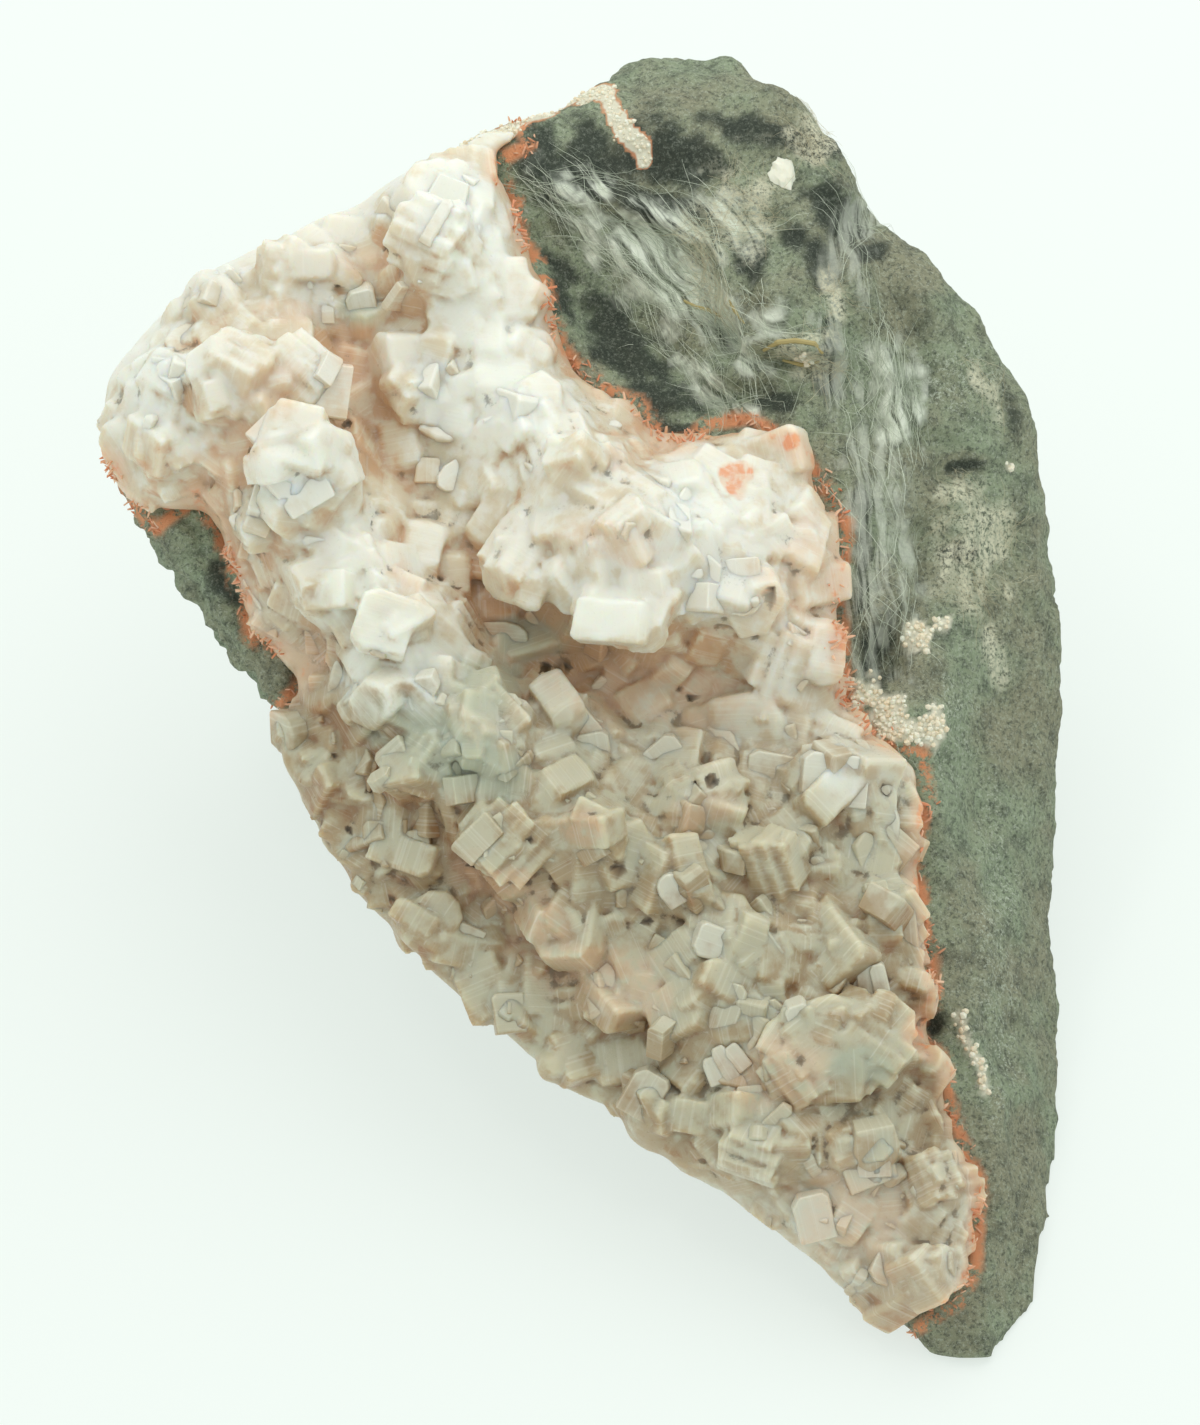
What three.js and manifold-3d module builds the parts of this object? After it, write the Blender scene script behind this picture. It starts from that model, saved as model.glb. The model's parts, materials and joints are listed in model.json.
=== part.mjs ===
// A hand specimen of basalt with one side of a broken gas pocket, lined with stilbite and apophyllite.
// Two solids: the basalt block, and the crust of intergrown crystals on it.
// Millimetres, +Z up, standing on the block's flat broken underside.
import * as THREE from "three";
import { ImprovedNoise } from "three/addons/math/ImprovedNoise.js";
import { mergeVertices } from "three/addons/utils/BufferGeometryUtils.js";
import Module from "manifold-3d";

const wasm = await Module();
wasm.setup();

// Driving dimensions
const FACE_LEAN = THREE.MathUtils.degToRad(40); // the crystal face leans back this far from the table
const FACE_HEIGHT = 50; // height of the middle of the crystal face above the table
const ROCK_CELL = 6.2; // size of the facets on the broken rock
const CRUST_CELL = 5; // size of the facets on the crust between its crystals
const SEAM = 0.5; // the crust's underside keeps clear of the rock
const TABLE_GAP = 0.6; // the crust stops this far above the table
const CRUST_EDGE = 3.2; // thickness of the crust along its broken edge
const CRUST_MARGIN = 8; // the crust reaches its full thickness this far in from its edge
const CRUST_LAP = 7; // the crust wraps this far round the edge of the rock
const CRUST_UNDERCUT = 0.7; // where it wraps the edge, it narrows this much per millimetre of depth
const SIDE_TAPER = 0.2; // the rock narrows this much per millimetre behind its face
const ROCK_RIM = 1.7; // the grid rounds this much off the rock's rim, so its outline is drawn wider
const CRUST_RIM = 1.2; // the same for the crust
const FACE_BLEND = 1.1; // how softly two broken faces meet

// The lesser crystals: the least distance between two, how far in from the crust's edge they stand, and
// the ranges of their size, their lean from upright in degrees and the share of them under the surface
const SCATTER_GAP = 9;
const SCATTER_INSET = 2.6;
const SCATTER_TRIES = 4000;
const SCATTER_SEED = 11;
const SCATTER_WIDTH = [4.5, 7.5];
const SCATTER_LENGTH = [8, 11.5];
const SCATTER_THICKNESS = [3, 4.6];
const SCATTER_LEAN = [15, 65];
const SCATTER_SUNK = 0.12;
const MAIN_LIFT = 0.8; // the main crystals stand this far proud of the crust

// Unevenness, as the size of its lumps, their height, and where in the noise it starts
const ROCK_SWELL = { size: 21, height: 2.4, start: [7, 0, 0] };
const ROCK_LUMPS = { size: 8.5, height: 1.3, start: [0, 4, 0] };
const CRUST_LUMPS = { size: 6, height: 1.5, start: [0, 0, 3.5] };
// The share of the swell and of the lumps that each kind of broken face shows
const FRONT_WEAR = [0.35, 0.5];
const SIDE_WEAR = [0.25, 0.4];
const HIDDEN_WEAR = [1.4, 1];
// A height over a sloping face is more than the distance to it
const ROCK_STEEPNESS = 0.75;
const CRUST_STEEPNESS = 0.8;

// The grid's corners, in face coordinates
const REACH = { low: [-70, -92, -96], high: [70, 97, 16] };

// Face coordinates run across the crystal face, up it and out of it.
const faceToWorld = new THREE.Matrix4()
  .makeTranslation(0, 0, FACE_HEIGHT)
  .multiply(new THREE.Matrix4().makeRotationX(FACE_LEAN));

// Outlines of the block and of the crust in the face plane, clockwise from the top
const BLOCK_OUTLINE = [
  [11.5, 85.5], [15.5, 84.5], [18.5, 80.5], [25.5, 78.5], [28, 74.5], [31, 68.5], [34, 63], [37.5, 59],
  [42, 56.5], [45.3, 53.5], [47.8, 48.5], [51, 44], [54, 39.5], [54.8, 34.2], [56.2, 29.2],
  [57.3, 19.1], [58.2, 9], [58.2, 3], [57.2, -3.5], [57.2, -18.5], [56.2, -26], [57.7, -36],
  [58.2, -43.5], [57.2, -51], [57.2, -63.8], [56.2, -69.5], [52.6, -77.3], [49.6, -82], [44, -81.5],
  [38, -76], [31, -68], [18, -58], [5, -49], [-10, -37], [-21, -29], [-30, -19], [-36, -8], [-40, 1],
  [-45, 5], [-49.5, 12.5], [-55, 19.5], [-59, 24.5], [-62, 30], [-61, 41], [-51, 51.5], [-41, 57],
  [-29, 61.5], [-21, 70], [-10, 74], [0, 80], [5, 84],
];
const CRUST_OUTLINE = [
  [-10, 75.5], [-9, 71.5], [-12.5, 70], [-13, 68], [-10.5, 64.5], [-10, 60], [-7, 55.5], [-6, 50],
  [-5, 46], [0, 41], [5, 39], [8, 34], [11, 34], [13.5, 36.5], [19, 37], [24, 34], [28, 29],
  [31, 24], [30, 14], [31, 1.5], [35, -3], [40.5, -5.5], [41, -11], [39, -18.5], [41, -26], [42, -36],
  [39, -40], [43, -43.5], [44, -50], [46, -56], [47.5, -58.5], [47, -69], [45, -73.5], [38, -78],
  [33.5, -76], [28.5, -70], [24.5, -66], [18, -62], [11, -58], [5, -53], [-5, -46.5], [-10, -41],
  [-15, -38], [-21, -32.5], [-27, -28.5], [-31, -22], [-34, -17], [-37, -11.5], [-39.5, -6], [-42, 0],
  [-38, 3], [-36, 6.5], [-44, 9.5], [-45, 15], [-48, 23], [-51, 27], [-56, 23], [-59, 26.5], [-61, 31],
  [-63, 32], [-63.5, 35], [-63, 39], [-61, 43], [-56, 49], [-52.5, 53], [-48, 56], [-41, 59.5],
  [-35, 62], [-28.5, 64], [-26, 67], [-22, 72], [-16, 73.5],
];

// The broken faces seen from the front, as heights out of the face plane with slopes across and up.
// The rock lies under every group, and a group of two meets in a valley.
const FRONT_FACES = [
  [{ name: "pocket wall", out: -10, across: 0, up: -0.2 }],
  [
    { name: "right side, lower", out: 70.5, across: -1.9, up: -0.414 },
    { name: "right side, upper", out: 16.5, across: -0.75, up: -0.1 },
  ],
  [{ name: "top", out: 78, across: -0.09, up: -1.395 }],
];

// The broken faces turned away from the front, each by a point on it and the way it faces, in world axes
const HIDDEN_FACES = [
  { name: "underside, left", point: [7, 0, 0], normal: [-0.55, -0.29, -0.78] },
  { name: "back, left", point: [-29.2, 71, 65.3], normal: [-0.48, 0.83, -0.3] },
  { name: "back, right", point: [50.6, 59.8, 49.8], normal: [0.61, 0.77, -0.18] },
  { name: "back, low", point: [0, 60, 10], normal: [0.05, 0.86, -0.5] },
];

// Forms on the bare rock: a scooped hollow, a boss in it and lesser dips
const ROCK_FORMS = [
  { name: "hollow", at: [8, 55], radii: [16, 15], turn: 0, lift: -6 },
  { name: "boss", at: [24, 50], radii: [7, 5.5], turn: -15, lift: 6 },
  { name: "groove behind the boss", at: [33, 46], radii: [4, 14], turn: -8, lift: -3 },
  { name: "dark nodule", at: [-5, 51], radii: [3, 3.5], turn: 0, lift: 3.5 },
  { name: "side recess", at: [44, 21], radii: [7, 9], turn: 10, lift: -4 },
  { name: "shelf over the recess", at: [48, 32], radii: [6, 4], turn: -30, lift: 2.5 },
];

// Forms of the crust: swelling lobes of crystals, a deep pocket and the valley that leads to it
const CRUST_LEVEL = { out: -3.5, across: 0, up: -0.2 };
const CRUST_RIDGES = [
  { name: "upper lobe", path: [[-18, 70], [-8, 55], [-4, 40], [0, 28], [4, 17]], width: 11, lift: 9 },
  { name: "valley", path: [[-31, 62], [-31, 41], [-21, 21], [-7, 8]], width: 4.5, lift: -8 },
  { name: "middle lobe", path: [[-37, 28], [-26, 12], [-15, -4], [-4, -14]], width: 9, lift: 9.5 },
  { name: "lower left tier", path: [[-44, -4], [-30, -20], [-13, -31], [0, -42]], width: 9, lift: -7 },
];
const CRUST_MOUNDS = [
  { name: "end of the upper lobe", at: [3, 20], radii: [13, 9], turn: 0, lift: 9 },
  { name: "right shoulder", at: [21, 22], radii: [9, 9], turn: 0, lift: 4 },
  { name: "left wing", at: [-45, 42], radii: [16, 13], turn: 30, lift: 7 },
  { name: "deep pocket", at: [8, 3], radii: [14, 5.5], turn: -8, lift: -12 },
  { name: "pocket's left end", at: [-6, 8], radii: [5, 4], turn: 0, lift: -6 },
  { name: "lower field", at: [14, -26], radii: [22, 16], turn: 0, lift: 3.5 },
  { name: "blade cluster", at: [30, -42], radii: [12, 9], turn: 0, lift: 4 },
  { name: "dip by the point", at: [38, -60], radii: [6, 7], turn: 0, lift: -2.5 },
];

// The crystals that stand out, each lying where it is seen: width, length and thickness, the way its
// length points in the face plane, and how far it stands up out of the face, in degrees
const MAIN_CRYSTALS = [
  { at: [13.5, -36], size: [7.5, 8, 4], spin: -14, rise: 18 },
  { at: [19, -29], size: [6.5, 11, 4.5], spin: 72, rise: 10 },
  { at: [30, -41], size: [9, 17, 4], spin: 100, rise: 8 },
  { at: [-12.5, -15], size: [8.5, 9, 4.5], spin: 165, rise: 30 },
  { at: [10.5, -21], size: [6, 8, 4], spin: 70, rise: 30 },
  { at: [32.5, -55], size: [7, 9, 4.5], spin: 10, rise: 35 },
  { at: [21, -52], size: [10, 11, 4.5], spin: 200, rise: 15 },
  { at: [30, -9], size: [9, 9, 5], spin: 80, rise: 25 },
  { at: [23, 8], size: [8, 11, 4], spin: 55, rise: 20 },
  { at: [17.5, 15], size: [6, 9, 5], spin: 92, rise: 12 },
  { at: [-4, -1], size: [7, 9, 4.5], spin: 40, rise: 35 },
  { at: [-12, 8], size: [4, 9, 4], spin: 85, rise: 15 },
  { at: [-20, -28], size: [6, 12, 3.5], spin: 65, rise: 18 },
  { at: [13, -12], size: [9, 10, 4.5], spin: 8, rise: 22 },
  { at: [-42, 41], size: [9, 16, 5], spin: 82, rise: 8 },
  { at: [-38, 55], size: [7, 9, 4.5], spin: 60, rise: 25 },
  { at: [-31, 50], size: [6, 7, 4.5], spin: 20, rise: 35 },
  { at: [-37, 31], size: [10, 11, 6], spin: 30, rise: 30 },
  { at: [-20, 57], size: [7, 12, 4.5], spin: -5, rise: 25 },
  { at: [3, 13], size: [12, 9, 5], spin: 175, rise: 25 },
  { at: [-9, 19], size: [8, 10, 5], spin: 150, rise: 25 },
  { at: [37, -26], size: [6, 9, 4], spin: 5, rise: 20 },
  { at: [2, -34], size: [7, 9, 4], spin: 200, rise: 30 },
  { at: [-14, -2], size: [8, 9, 5], spin: 140, rise: 30 },
];

const noise = new ImprovedNoise();

function seededRandom(seed) {
  let state = seed;
  return () => {
    state = (state * 1664525 + 1013904223) >>> 0;
    return state / 2 ** 32;
  };
}

function unevenness({ size, height, start }, x, y, z) {
  return height * noise.noise(x / size + start[0], y / size + start[1], z / size + start[2]);
}

// Distance from a point to the nearest edge of a closed outline: positive outside it, negative inside
function distanceOutside(outline, across, up) {
  let nearest = Infinity;
  let inside = false;
  outline.forEach(([ax, ay], i) => {
    const [bx, by] = outline[(i + 1) % outline.length];
    nearest = Math.min(nearest, distanceToSegment(across, up, ax, ay, bx, by));
    const crosses = ay > up !== by > up && across < ax + ((up - ay) * (bx - ax)) / (by - ay);
    if (crosses) inside = !inside;
  });
  return inside ? -nearest : nearest;
}

function distanceToSegment(x, y, ax, ay, bx, by) {
  const along = ((x - ax) * (bx - ax) + (y - ay) * (by - ay)) / ((bx - ax) ** 2 + (by - ay) ** 2);
  const t = THREE.MathUtils.clamp(along, 0, 1);
  return Math.hypot(x - ax - t * (bx - ax), y - ay - t * (by - ay));
}

function distanceToPath(path, x, y) {
  const steps = path.slice(1).map(([bx, by], i) => distanceToSegment(x, y, ...path[i], bx, by));
  return Math.min(...steps);
}

// How much an oval mound or hollow lifts the surface at a point
function moundLift({ at, radii, turn, lift }, across, up) {
  const angle = THREE.MathUtils.degToRad(turn);
  const dx = across - at[0];
  const dy = up - at[1];
  const along = (dx * Math.cos(angle) + dy * Math.sin(angle)) / radii[0];
  const beside = (dy * Math.cos(angle) - dx * Math.sin(angle)) / radii[1];
  return lift * Math.exp(-(along ** 2) - beside ** 2);
}

function ridgeLift({ path, width, lift }, across, up) {
  return lift * Math.exp(-((distanceToPath(path, across, up) / width) ** 2));
}

const slopedHeight = (face, across, up) => face.out + face.across * across + face.up * up;

// The larger of some heights when blend is positive and the smaller when it is negative, rounded where
// they meet
const softest = (heights, blend) =>
  blend * Math.log(heights.reduce((total, height) => total + Math.exp(height / blend), 0));

// Height of the rock's front out of the face plane
function rockFront(across, up) {
  const groups = FRONT_FACES.map((faces) =>
    softest(faces.map((face) => slopedHeight(face, across, up)), FACE_BLEND));
  const broken = softest(groups, -FACE_BLEND);
  return ROCK_FORMS.reduce((height, form) => height + moundLift(form, across, up), broken);
}

// Height of the crust out of the face plane, thinned towards its broken edge
function crustFront(across, up) {
  const rock = rockFront(across, up);
  const lobes = CRUST_RIDGES.reduce((height, form) => height + ridgeLift(form, across, up), 0);
  const mounds = CRUST_MOUNDS.reduce((height, form) => height + moundLift(form, across, up), 0);
  const lumps = unevenness(CRUST_LUMPS, across, up, 0);
  const full = slopedHeight(CRUST_LEVEL, across, up) + lobes + mounds + lumps;
  const edge = rock + CRUST_EDGE;
  const inward = -distanceOutside(CRUST_OUTLINE, across, up) / CRUST_MARGIN;
  return edge + Math.max(0, full - edge) * THREE.MathUtils.smoothstep(inward, 0, 1);
}

// The rock as a field: negative inside, about a distance in millimetres
function rockField(across, up, out) {
  const world = new THREE.Vector3(across, up, out).applyMatrix4(faceToWorld);
  const front = out - rockFront(across, up);
  const side = distanceOutside(BLOCK_OUTLINE, across, up) - ROCK_RIM - SIDE_TAPER * front;
  const hidden = HIDDEN_FACES.map(({ point, normal }) =>
    new THREE.Vector3(...normal).normalize().dot(world.clone().sub(new THREE.Vector3(...point))));
  const swell = unevenness(ROCK_SWELL, ...world);
  const lumps = unevenness(ROCK_LUMPS, ...world);
  const worn = ([swellShare, lumpShare]) => swellShare * swell + lumpShare * lumps;
  return Math.max(
    front * ROCK_STEEPNESS + worn(FRONT_WEAR),
    side + worn(SIDE_WEAR),
    Math.max(...hidden) + worn(HIDDEN_WEAR),
  );
}

// The crust before its crystals, as a field: it lies on the rock and wraps over the rock's edge
function crustField(across, up, out) {
  const below = crustFront(across, up) - out;
  const wrapped = CRUST_UNDERCUT * Math.max(0, below - CRUST_EDGE);
  return Math.max(
    -CRUST_STEEPNESS * below,
    distanceOutside(CRUST_OUTLINE, across, up) - CRUST_RIM + wrapped,
    rockFront(across, up) - CRUST_LAP - out,
  );
}

// Surface nets: one vertex in each cell that the field's surface crosses, one square for each crossed edge
function polygonize(field, low, high, cell) {
  const counts = low.map((start, axis) => Math.ceil((high[axis] - start) / cell) + 1);
  const place = (i, j, k) => [low[0] + i * cell, low[1] + j * cell, low[2] + k * cell];
  const key = (i, j, k) => (k * counts[1] + j) * counts[0] + i;
  const values = new Float32Array(counts[0] * counts[1] * counts[2]);
  const eachPoint = (visit, margin) => {
    for (let k = 0; k < counts[2] - margin; k++)
      for (let j = 0; j < counts[1] - margin; j++)
        for (let i = 0; i < counts[0] - margin; i++) visit(i, j, k);
  };
  eachPoint((i, j, k) => (values[key(i, j, k)] = field(...place(i, j, k))), 0);

  const steps = [[1, 0, 0], [0, 1, 0], [0, 0, 1]];
  const square = (i, j, k, axis, side) => {
    const u = steps[(axis + 1) % 3];
    const v = steps[(axis + 2) % 3];
    return [[0, 0], [1, 0], [1, 1], [0, 1]].map(([m, n]) => key(
      i + side * (m * u[0] + n * v[0]), j + side * (m * u[1] + n * v[1]), k + side * (m * u[2] + n * v[2])));
  };
  // Where only opposite corners of a grid square are solid, two sheets would share an edge, so a third
  // corner is filled by a small amount
  const filled = -0.1 * cell;
  let pinched = true;
  while (pinched) {
    pinched = false;
    eachPoint((i, j, k) => {
      for (const axis of [0, 1, 2]) {
        const [a, b, c, d] = square(i, j, k, axis, 1);
        const solid = [a, b, c, d].map((q) => values[q] < 0);
        if (solid[0] !== solid[2] || solid[1] !== solid[3] || solid[0] === solid[1]) continue;
        const [one, other] = solid[0] ? [b, d] : [a, c];
        values[values[one] < values[other] ? one : other] = filled;
        pinched = true;
      }
    }, 1);
  }

  const positions = [];
  const vertexOf = new Map();
  const corners = [0, 1, 2, 3, 4, 5, 6, 7].map((c) => [c & 1, (c >> 1) & 1, (c >> 2) & 1]);
  const edges = corners.flatMap((a, ia) =>
    corners.slice(ia + 1).filter((b) => a.filter((v, n) => v !== b[n]).length === 1).map((b) => [a, b]));
  eachPoint((i, j, k) => {
    const sum = new THREE.Vector3();
    let crossings = 0;
    for (const [a, b] of edges) {
      const va = values[key(i + a[0], j + a[1], k + a[2])];
      const vb = values[key(i + b[0], j + b[1], k + b[2])];
      if (va < 0 === vb < 0) continue;
      const t = va / (va - vb);
      sum.add(new THREE.Vector3(...a).lerp(new THREE.Vector3(...b), t));
      crossings += 1;
    }
    if (!crossings) return;
    const [x, y, z] = place(i, j, k);
    sum.multiplyScalar(cell / crossings);
    vertexOf.set(key(i, j, k), positions.length / 3);
    positions.push(x + sum.x, y + sum.y, z + sum.z);
  }, 1);

  const triangles = [];
  eachPoint((i, j, k) => {
    if (!i || !j || !k) return;
    steps.forEach((step, axis) => {
      const from = values[key(i, j, k)];
      const to = values[key(i + step[0], j + step[1], k + step[2])];
      if (from < 0 === to < 0) return;
      const around = square(i, j, k, axis, -1).map((cellKey) => vertexOf.get(cellKey));
      const [a, b, c, d] = from < 0 ? around : around.reverse();
      triangles.push(a, b, c, a, c, d);
    });
  }, 1);
  return new THREE.BufferGeometry()
    .setAttribute("position", new THREE.Float32BufferAttribute(positions, 3))
    .setIndex(triangles);
}

// A copy of a closed surface, moved out along its vertex normals
function swollen(geometry, distance) {
  const copy = geometry.clone();
  copy.computeVertexNormals();
  const { position, normal } = copy.attributes;
  for (let i = 0; i < position.count; i++)
    position.setXYZ(
      i,
      position.getX(i) + distance * normal.getX(i),
      position.getY(i) + distance * normal.getY(i),
      position.getZ(i) + distance * normal.getZ(i),
    );
  return copy;
}

function solidFrom(geometry) {
  const bare = new THREE.BufferGeometry().setAttribute("position", geometry.attributes.position);
  if (geometry.index) bare.setIndex(geometry.index);
  const merged = mergeVertices(bare, 1e-4);
  const vertProperties = new Float32Array(merged.attributes.position.array);
  return new wasm.Manifold(new wasm.Mesh({
    numProp: 3,
    vertProperties,
    triVerts: new Uint32Array(merged.index.array),
  }));
}

function geometryFrom(solid) {
  const { vertProperties, triVerts } = solid.getMesh();
  const geometry = new THREE.BufferGeometry()
    .setAttribute("position", new THREE.Float32BufferAttribute(vertProperties, 3))
    .setIndex(Array.from(triVerts))
    .toNonIndexed();
  geometry.computeVertexNormals();
  return geometry;
}

// Cutting can free a crumb at a sharp corner, which the real specimen lost long ago
function largestBody(solid) {
  return solid.decompose().reduce((best, body) => (body.volume() > best.volume() ? body : best));
}

// Everything under the table top, which the standing face is cut by
function belowTable(level) {
  const reach = 400;
  const block = new THREE.BoxGeometry(reach, reach, reach);
  block.translate(0, 0, level - reach / 2);
  return solidFrom(block);
}

// A tabular crystal: flat faces, square sides and a blunt end cut on a slant, grown along +Y
function crystalGeometry([width, length, thickness]) {
  const half = width / 2;
  const outline = [
    [-half, -length / 2], [half, -length / 2], [half, length * 0.3], [half * 0.55, length / 2],
    [-half * 0.7, length / 2], [-half, length * 0.38],
  ];
  const shape = new THREE.Shape(outline.map(([x, y]) => new THREE.Vector2(x, y)));
  const crystal = new THREE.ExtrudeGeometry(shape, { depth: thickness, bevelEnabled: false });
  return crystal.translate(0, 0, -thickness / 2);
}

// Puts a crystal on the crust with its length along a direction given in face coordinates
function placedCrystal({ at, size, growth, roll, lift }) {
  const [across, up] = at;
  const turn = new THREE.Quaternion()
    .setFromUnitVectors(new THREE.Vector3(0, 1, 0), growth)
    .multiply(new THREE.Quaternion().setFromAxisAngle(new THREE.Vector3(0, 1, 0), roll));
  const centre = new THREE.Vector3(across, up, crustFront(across, up) + lift);
  const placing = new THREE.Matrix4().compose(centre, turn, new THREE.Vector3(1, 1, 1));
  return solidFrom(crystalGeometry(size).applyMatrix4(placing).applyMatrix4(faceToWorld));
}

function mainCrystal({ at, size, spin, rise }) {
  const angle = THREE.MathUtils.degToRad(spin);
  const slope = THREE.MathUtils.degToRad(rise);
  const growth = new THREE.Vector3(
    -Math.sin(angle) * Math.cos(slope), Math.cos(angle) * Math.cos(slope), Math.sin(slope));
  // The flat face turns as far as it can towards the front
  const flat = new THREE.Vector3(0, 0, 1).applyQuaternion(
    new THREE.Quaternion().setFromUnitVectors(new THREE.Vector3(0, 1, 0), growth));
  const front = new THREE.Vector3(0, 0, 1).projectOnPlane(growth).normalize();
  const side = new THREE.Vector3().crossVectors(flat, front).dot(growth);
  const roll = Math.atan2(side, flat.dot(front));
  return placedCrystal({ at, size, growth, roll, lift: MAIN_LIFT });
}

const between = ([low, high], random) => low + (high - low) * random();

// Places for the lesser crystals: spread over the crust, clear of each other and of the main ones
function scatteredPlaces(random) {
  const places = MAIN_CRYSTALS.map(({ at }) => at);
  const taken = places.length;
  const region = new THREE.Box2().setFromPoints(CRUST_OUTLINE.map(([x, y]) => new THREE.Vector2(x, y)));
  for (let n = 0; n < SCATTER_TRIES; n++) {
    const at = [between([region.min.x, region.max.x], random), between([region.min.y, region.max.y], random)];
    const clear = places.every(([a, u]) => Math.hypot(a - at[0], u - at[1]) > SCATTER_GAP);
    if (clear && distanceOutside(CRUST_OUTLINE, ...at) < -SCATTER_INSET) places.push(at);
  }
  return places.slice(taken);
}

function scatteredCrystal(at, random) {
  const size = [SCATTER_WIDTH, SCATTER_LENGTH, SCATTER_THICKNESS].map((range) => between(range, random));
  const lean = THREE.MathUtils.degToRad(between(SCATTER_LEAN, random));
  const way = between([0, 2 * Math.PI], random);
  const growth = new THREE.Vector3(
    Math.sin(lean) * Math.cos(way), Math.sin(lean) * Math.sin(way), Math.cos(lean));
  const roll = between([0, Math.PI], random);
  return placedCrystal({ at, size, growth, roll, lift: -SCATTER_SUNK * size[1] });
}

function makeBlock() {
  return polygonize(rockField, REACH.low, REACH.high, ROCK_CELL).applyMatrix4(faceToWorld);
}

function makeCrust(block) {
  const layer = polygonize(crustField, REACH.low, REACH.high, CRUST_CELL).applyMatrix4(faceToWorld);
  const random = seededRandom(SCATTER_SEED);
  const scattered = scatteredPlaces(random).map((at) => scatteredCrystal(at, random));
  const crystals = [...MAIN_CRYSTALS.map(mainCrystal), ...scattered];
  const grown = crystals.reduce((crust, crystal) => crust.add(crystal), solidFrom(layer));
  // Swelling folds over itself at the sharpest corners, so the block and lesser swellings go too
  const seamShares = [0, 0.05, 0.2, 0.6, 1];
  const seated = seamShares.reduce(
    (crust, share) => crust.subtract(solidFrom(swollen(block, share * SEAM))), grown);
  return largestBody(seated.subtract(belowTable(TABLE_GAP)));
}

function piece(name, solid, material) {
  const mesh = new THREE.Mesh(geometryFrom(solid), material);
  mesh.name = name;
  return mesh;
}

const basalt = new THREE.MeshStandardMaterial({ color: 0x4d524b, roughness: 0.92, metalness: 0 });
const stilbite = new THREE.MeshStandardMaterial({ color: 0xe6d8c6, roughness: 0.32, metalness: 0 });
basalt.flatShading = true;
stilbite.flatShading = true;

const block = makeBlock();
const specimen = new THREE.Group();
specimen.add(piece("basalt_matrix", solidFrom(block).subtract(belowTable(0)), basalt));
specimen.add(piece("crystal_crust", makeCrust(block), stilbite));

// The origin is on the table, under the middle of the specimen's box
const middle = new THREE.Box3().setFromObject(specimen).getCenter(new THREE.Vector3());
specimen.position.set(-middle.x, -middle.y, 0);

export default specimen;
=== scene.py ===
# %% [markdown]
# # A crystal cluster on basalt
# This lesson dresses a packed hand specimen: a block of dark basalt, and on its leaning front the lining
# of a broken gas pocket, a crust of stilbite and apophyllite crystals. The two solids come from the CAD
# model and stay where they are. Everything made here is in metres, in the same frame.

# %% Load the frame
import json
import math

import bmesh
import bpy
import numpy as np
from mathutils import Matrix, Vector, noise
from mathutils.bvhtree import BVHTree

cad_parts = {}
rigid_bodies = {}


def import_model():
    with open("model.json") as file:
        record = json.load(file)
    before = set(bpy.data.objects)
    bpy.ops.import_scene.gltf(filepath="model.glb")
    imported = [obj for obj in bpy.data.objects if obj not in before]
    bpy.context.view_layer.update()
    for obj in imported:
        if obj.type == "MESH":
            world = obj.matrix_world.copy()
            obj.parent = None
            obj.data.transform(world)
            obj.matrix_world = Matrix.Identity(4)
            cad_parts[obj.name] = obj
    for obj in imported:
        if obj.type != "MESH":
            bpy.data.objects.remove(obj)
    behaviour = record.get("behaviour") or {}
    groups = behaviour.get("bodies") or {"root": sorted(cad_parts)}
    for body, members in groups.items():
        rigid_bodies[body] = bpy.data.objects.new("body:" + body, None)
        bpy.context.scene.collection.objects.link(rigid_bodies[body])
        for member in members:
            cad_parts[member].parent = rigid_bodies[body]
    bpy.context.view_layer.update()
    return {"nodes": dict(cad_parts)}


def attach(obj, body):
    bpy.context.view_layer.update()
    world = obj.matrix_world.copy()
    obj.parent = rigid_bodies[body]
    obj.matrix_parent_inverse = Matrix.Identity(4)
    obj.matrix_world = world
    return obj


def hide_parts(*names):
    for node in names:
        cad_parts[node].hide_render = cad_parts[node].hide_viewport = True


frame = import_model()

print("CAD nodes:", sorted(frame["nodes"]))

# %% [markdown]
# ## Two sets of axes
# The specimen leans back on the table, but all its detail is read from the front. So places are given in
# face coordinates, in millimetres: across the crystal face, up it, and out of it towards the viewer.
# Two small functions turn them into the frame's metres and back.

# %% Face coordinates
MM = 0.001
FACE_LEAN = math.radians(40)
FACE_CENTRE = np.array([2.04, -14.02, 50.0]) * MM
ACROSS = np.array([1.0, 0.0, 0.0])
UP = np.array([0.0, math.cos(FACE_LEAN), math.sin(FACE_LEAN)])
OUT = np.array([0.0, -math.sin(FACE_LEAN), math.cos(FACE_LEAN)])
FACE_AXES = np.stack([ACROSS, UP, OUT])
print("crystal face leans back", round(math.degrees(FACE_LEAN)), "degrees")


def to_world(places):
    """Face coordinates in millimetres to points in metres."""
    return FACE_CENTRE + (np.asarray(places, float) * MM) @ FACE_AXES


def to_face(points):
    """Points in metres to face coordinates in millimetres."""
    return ((np.asarray(points, float) - FACE_CENTRE) / MM) @ FACE_AXES.T


# %% [markdown]
# ## The crust's outline
# The edge between crystals and bare rock decides where fringe, fibres and colour go. It is the outline
# that the CAD solid was cut to. The crust meets rock along two stretches of it, on the right and in the
# notch on the left, and along the rest it ends in the air.

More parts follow.
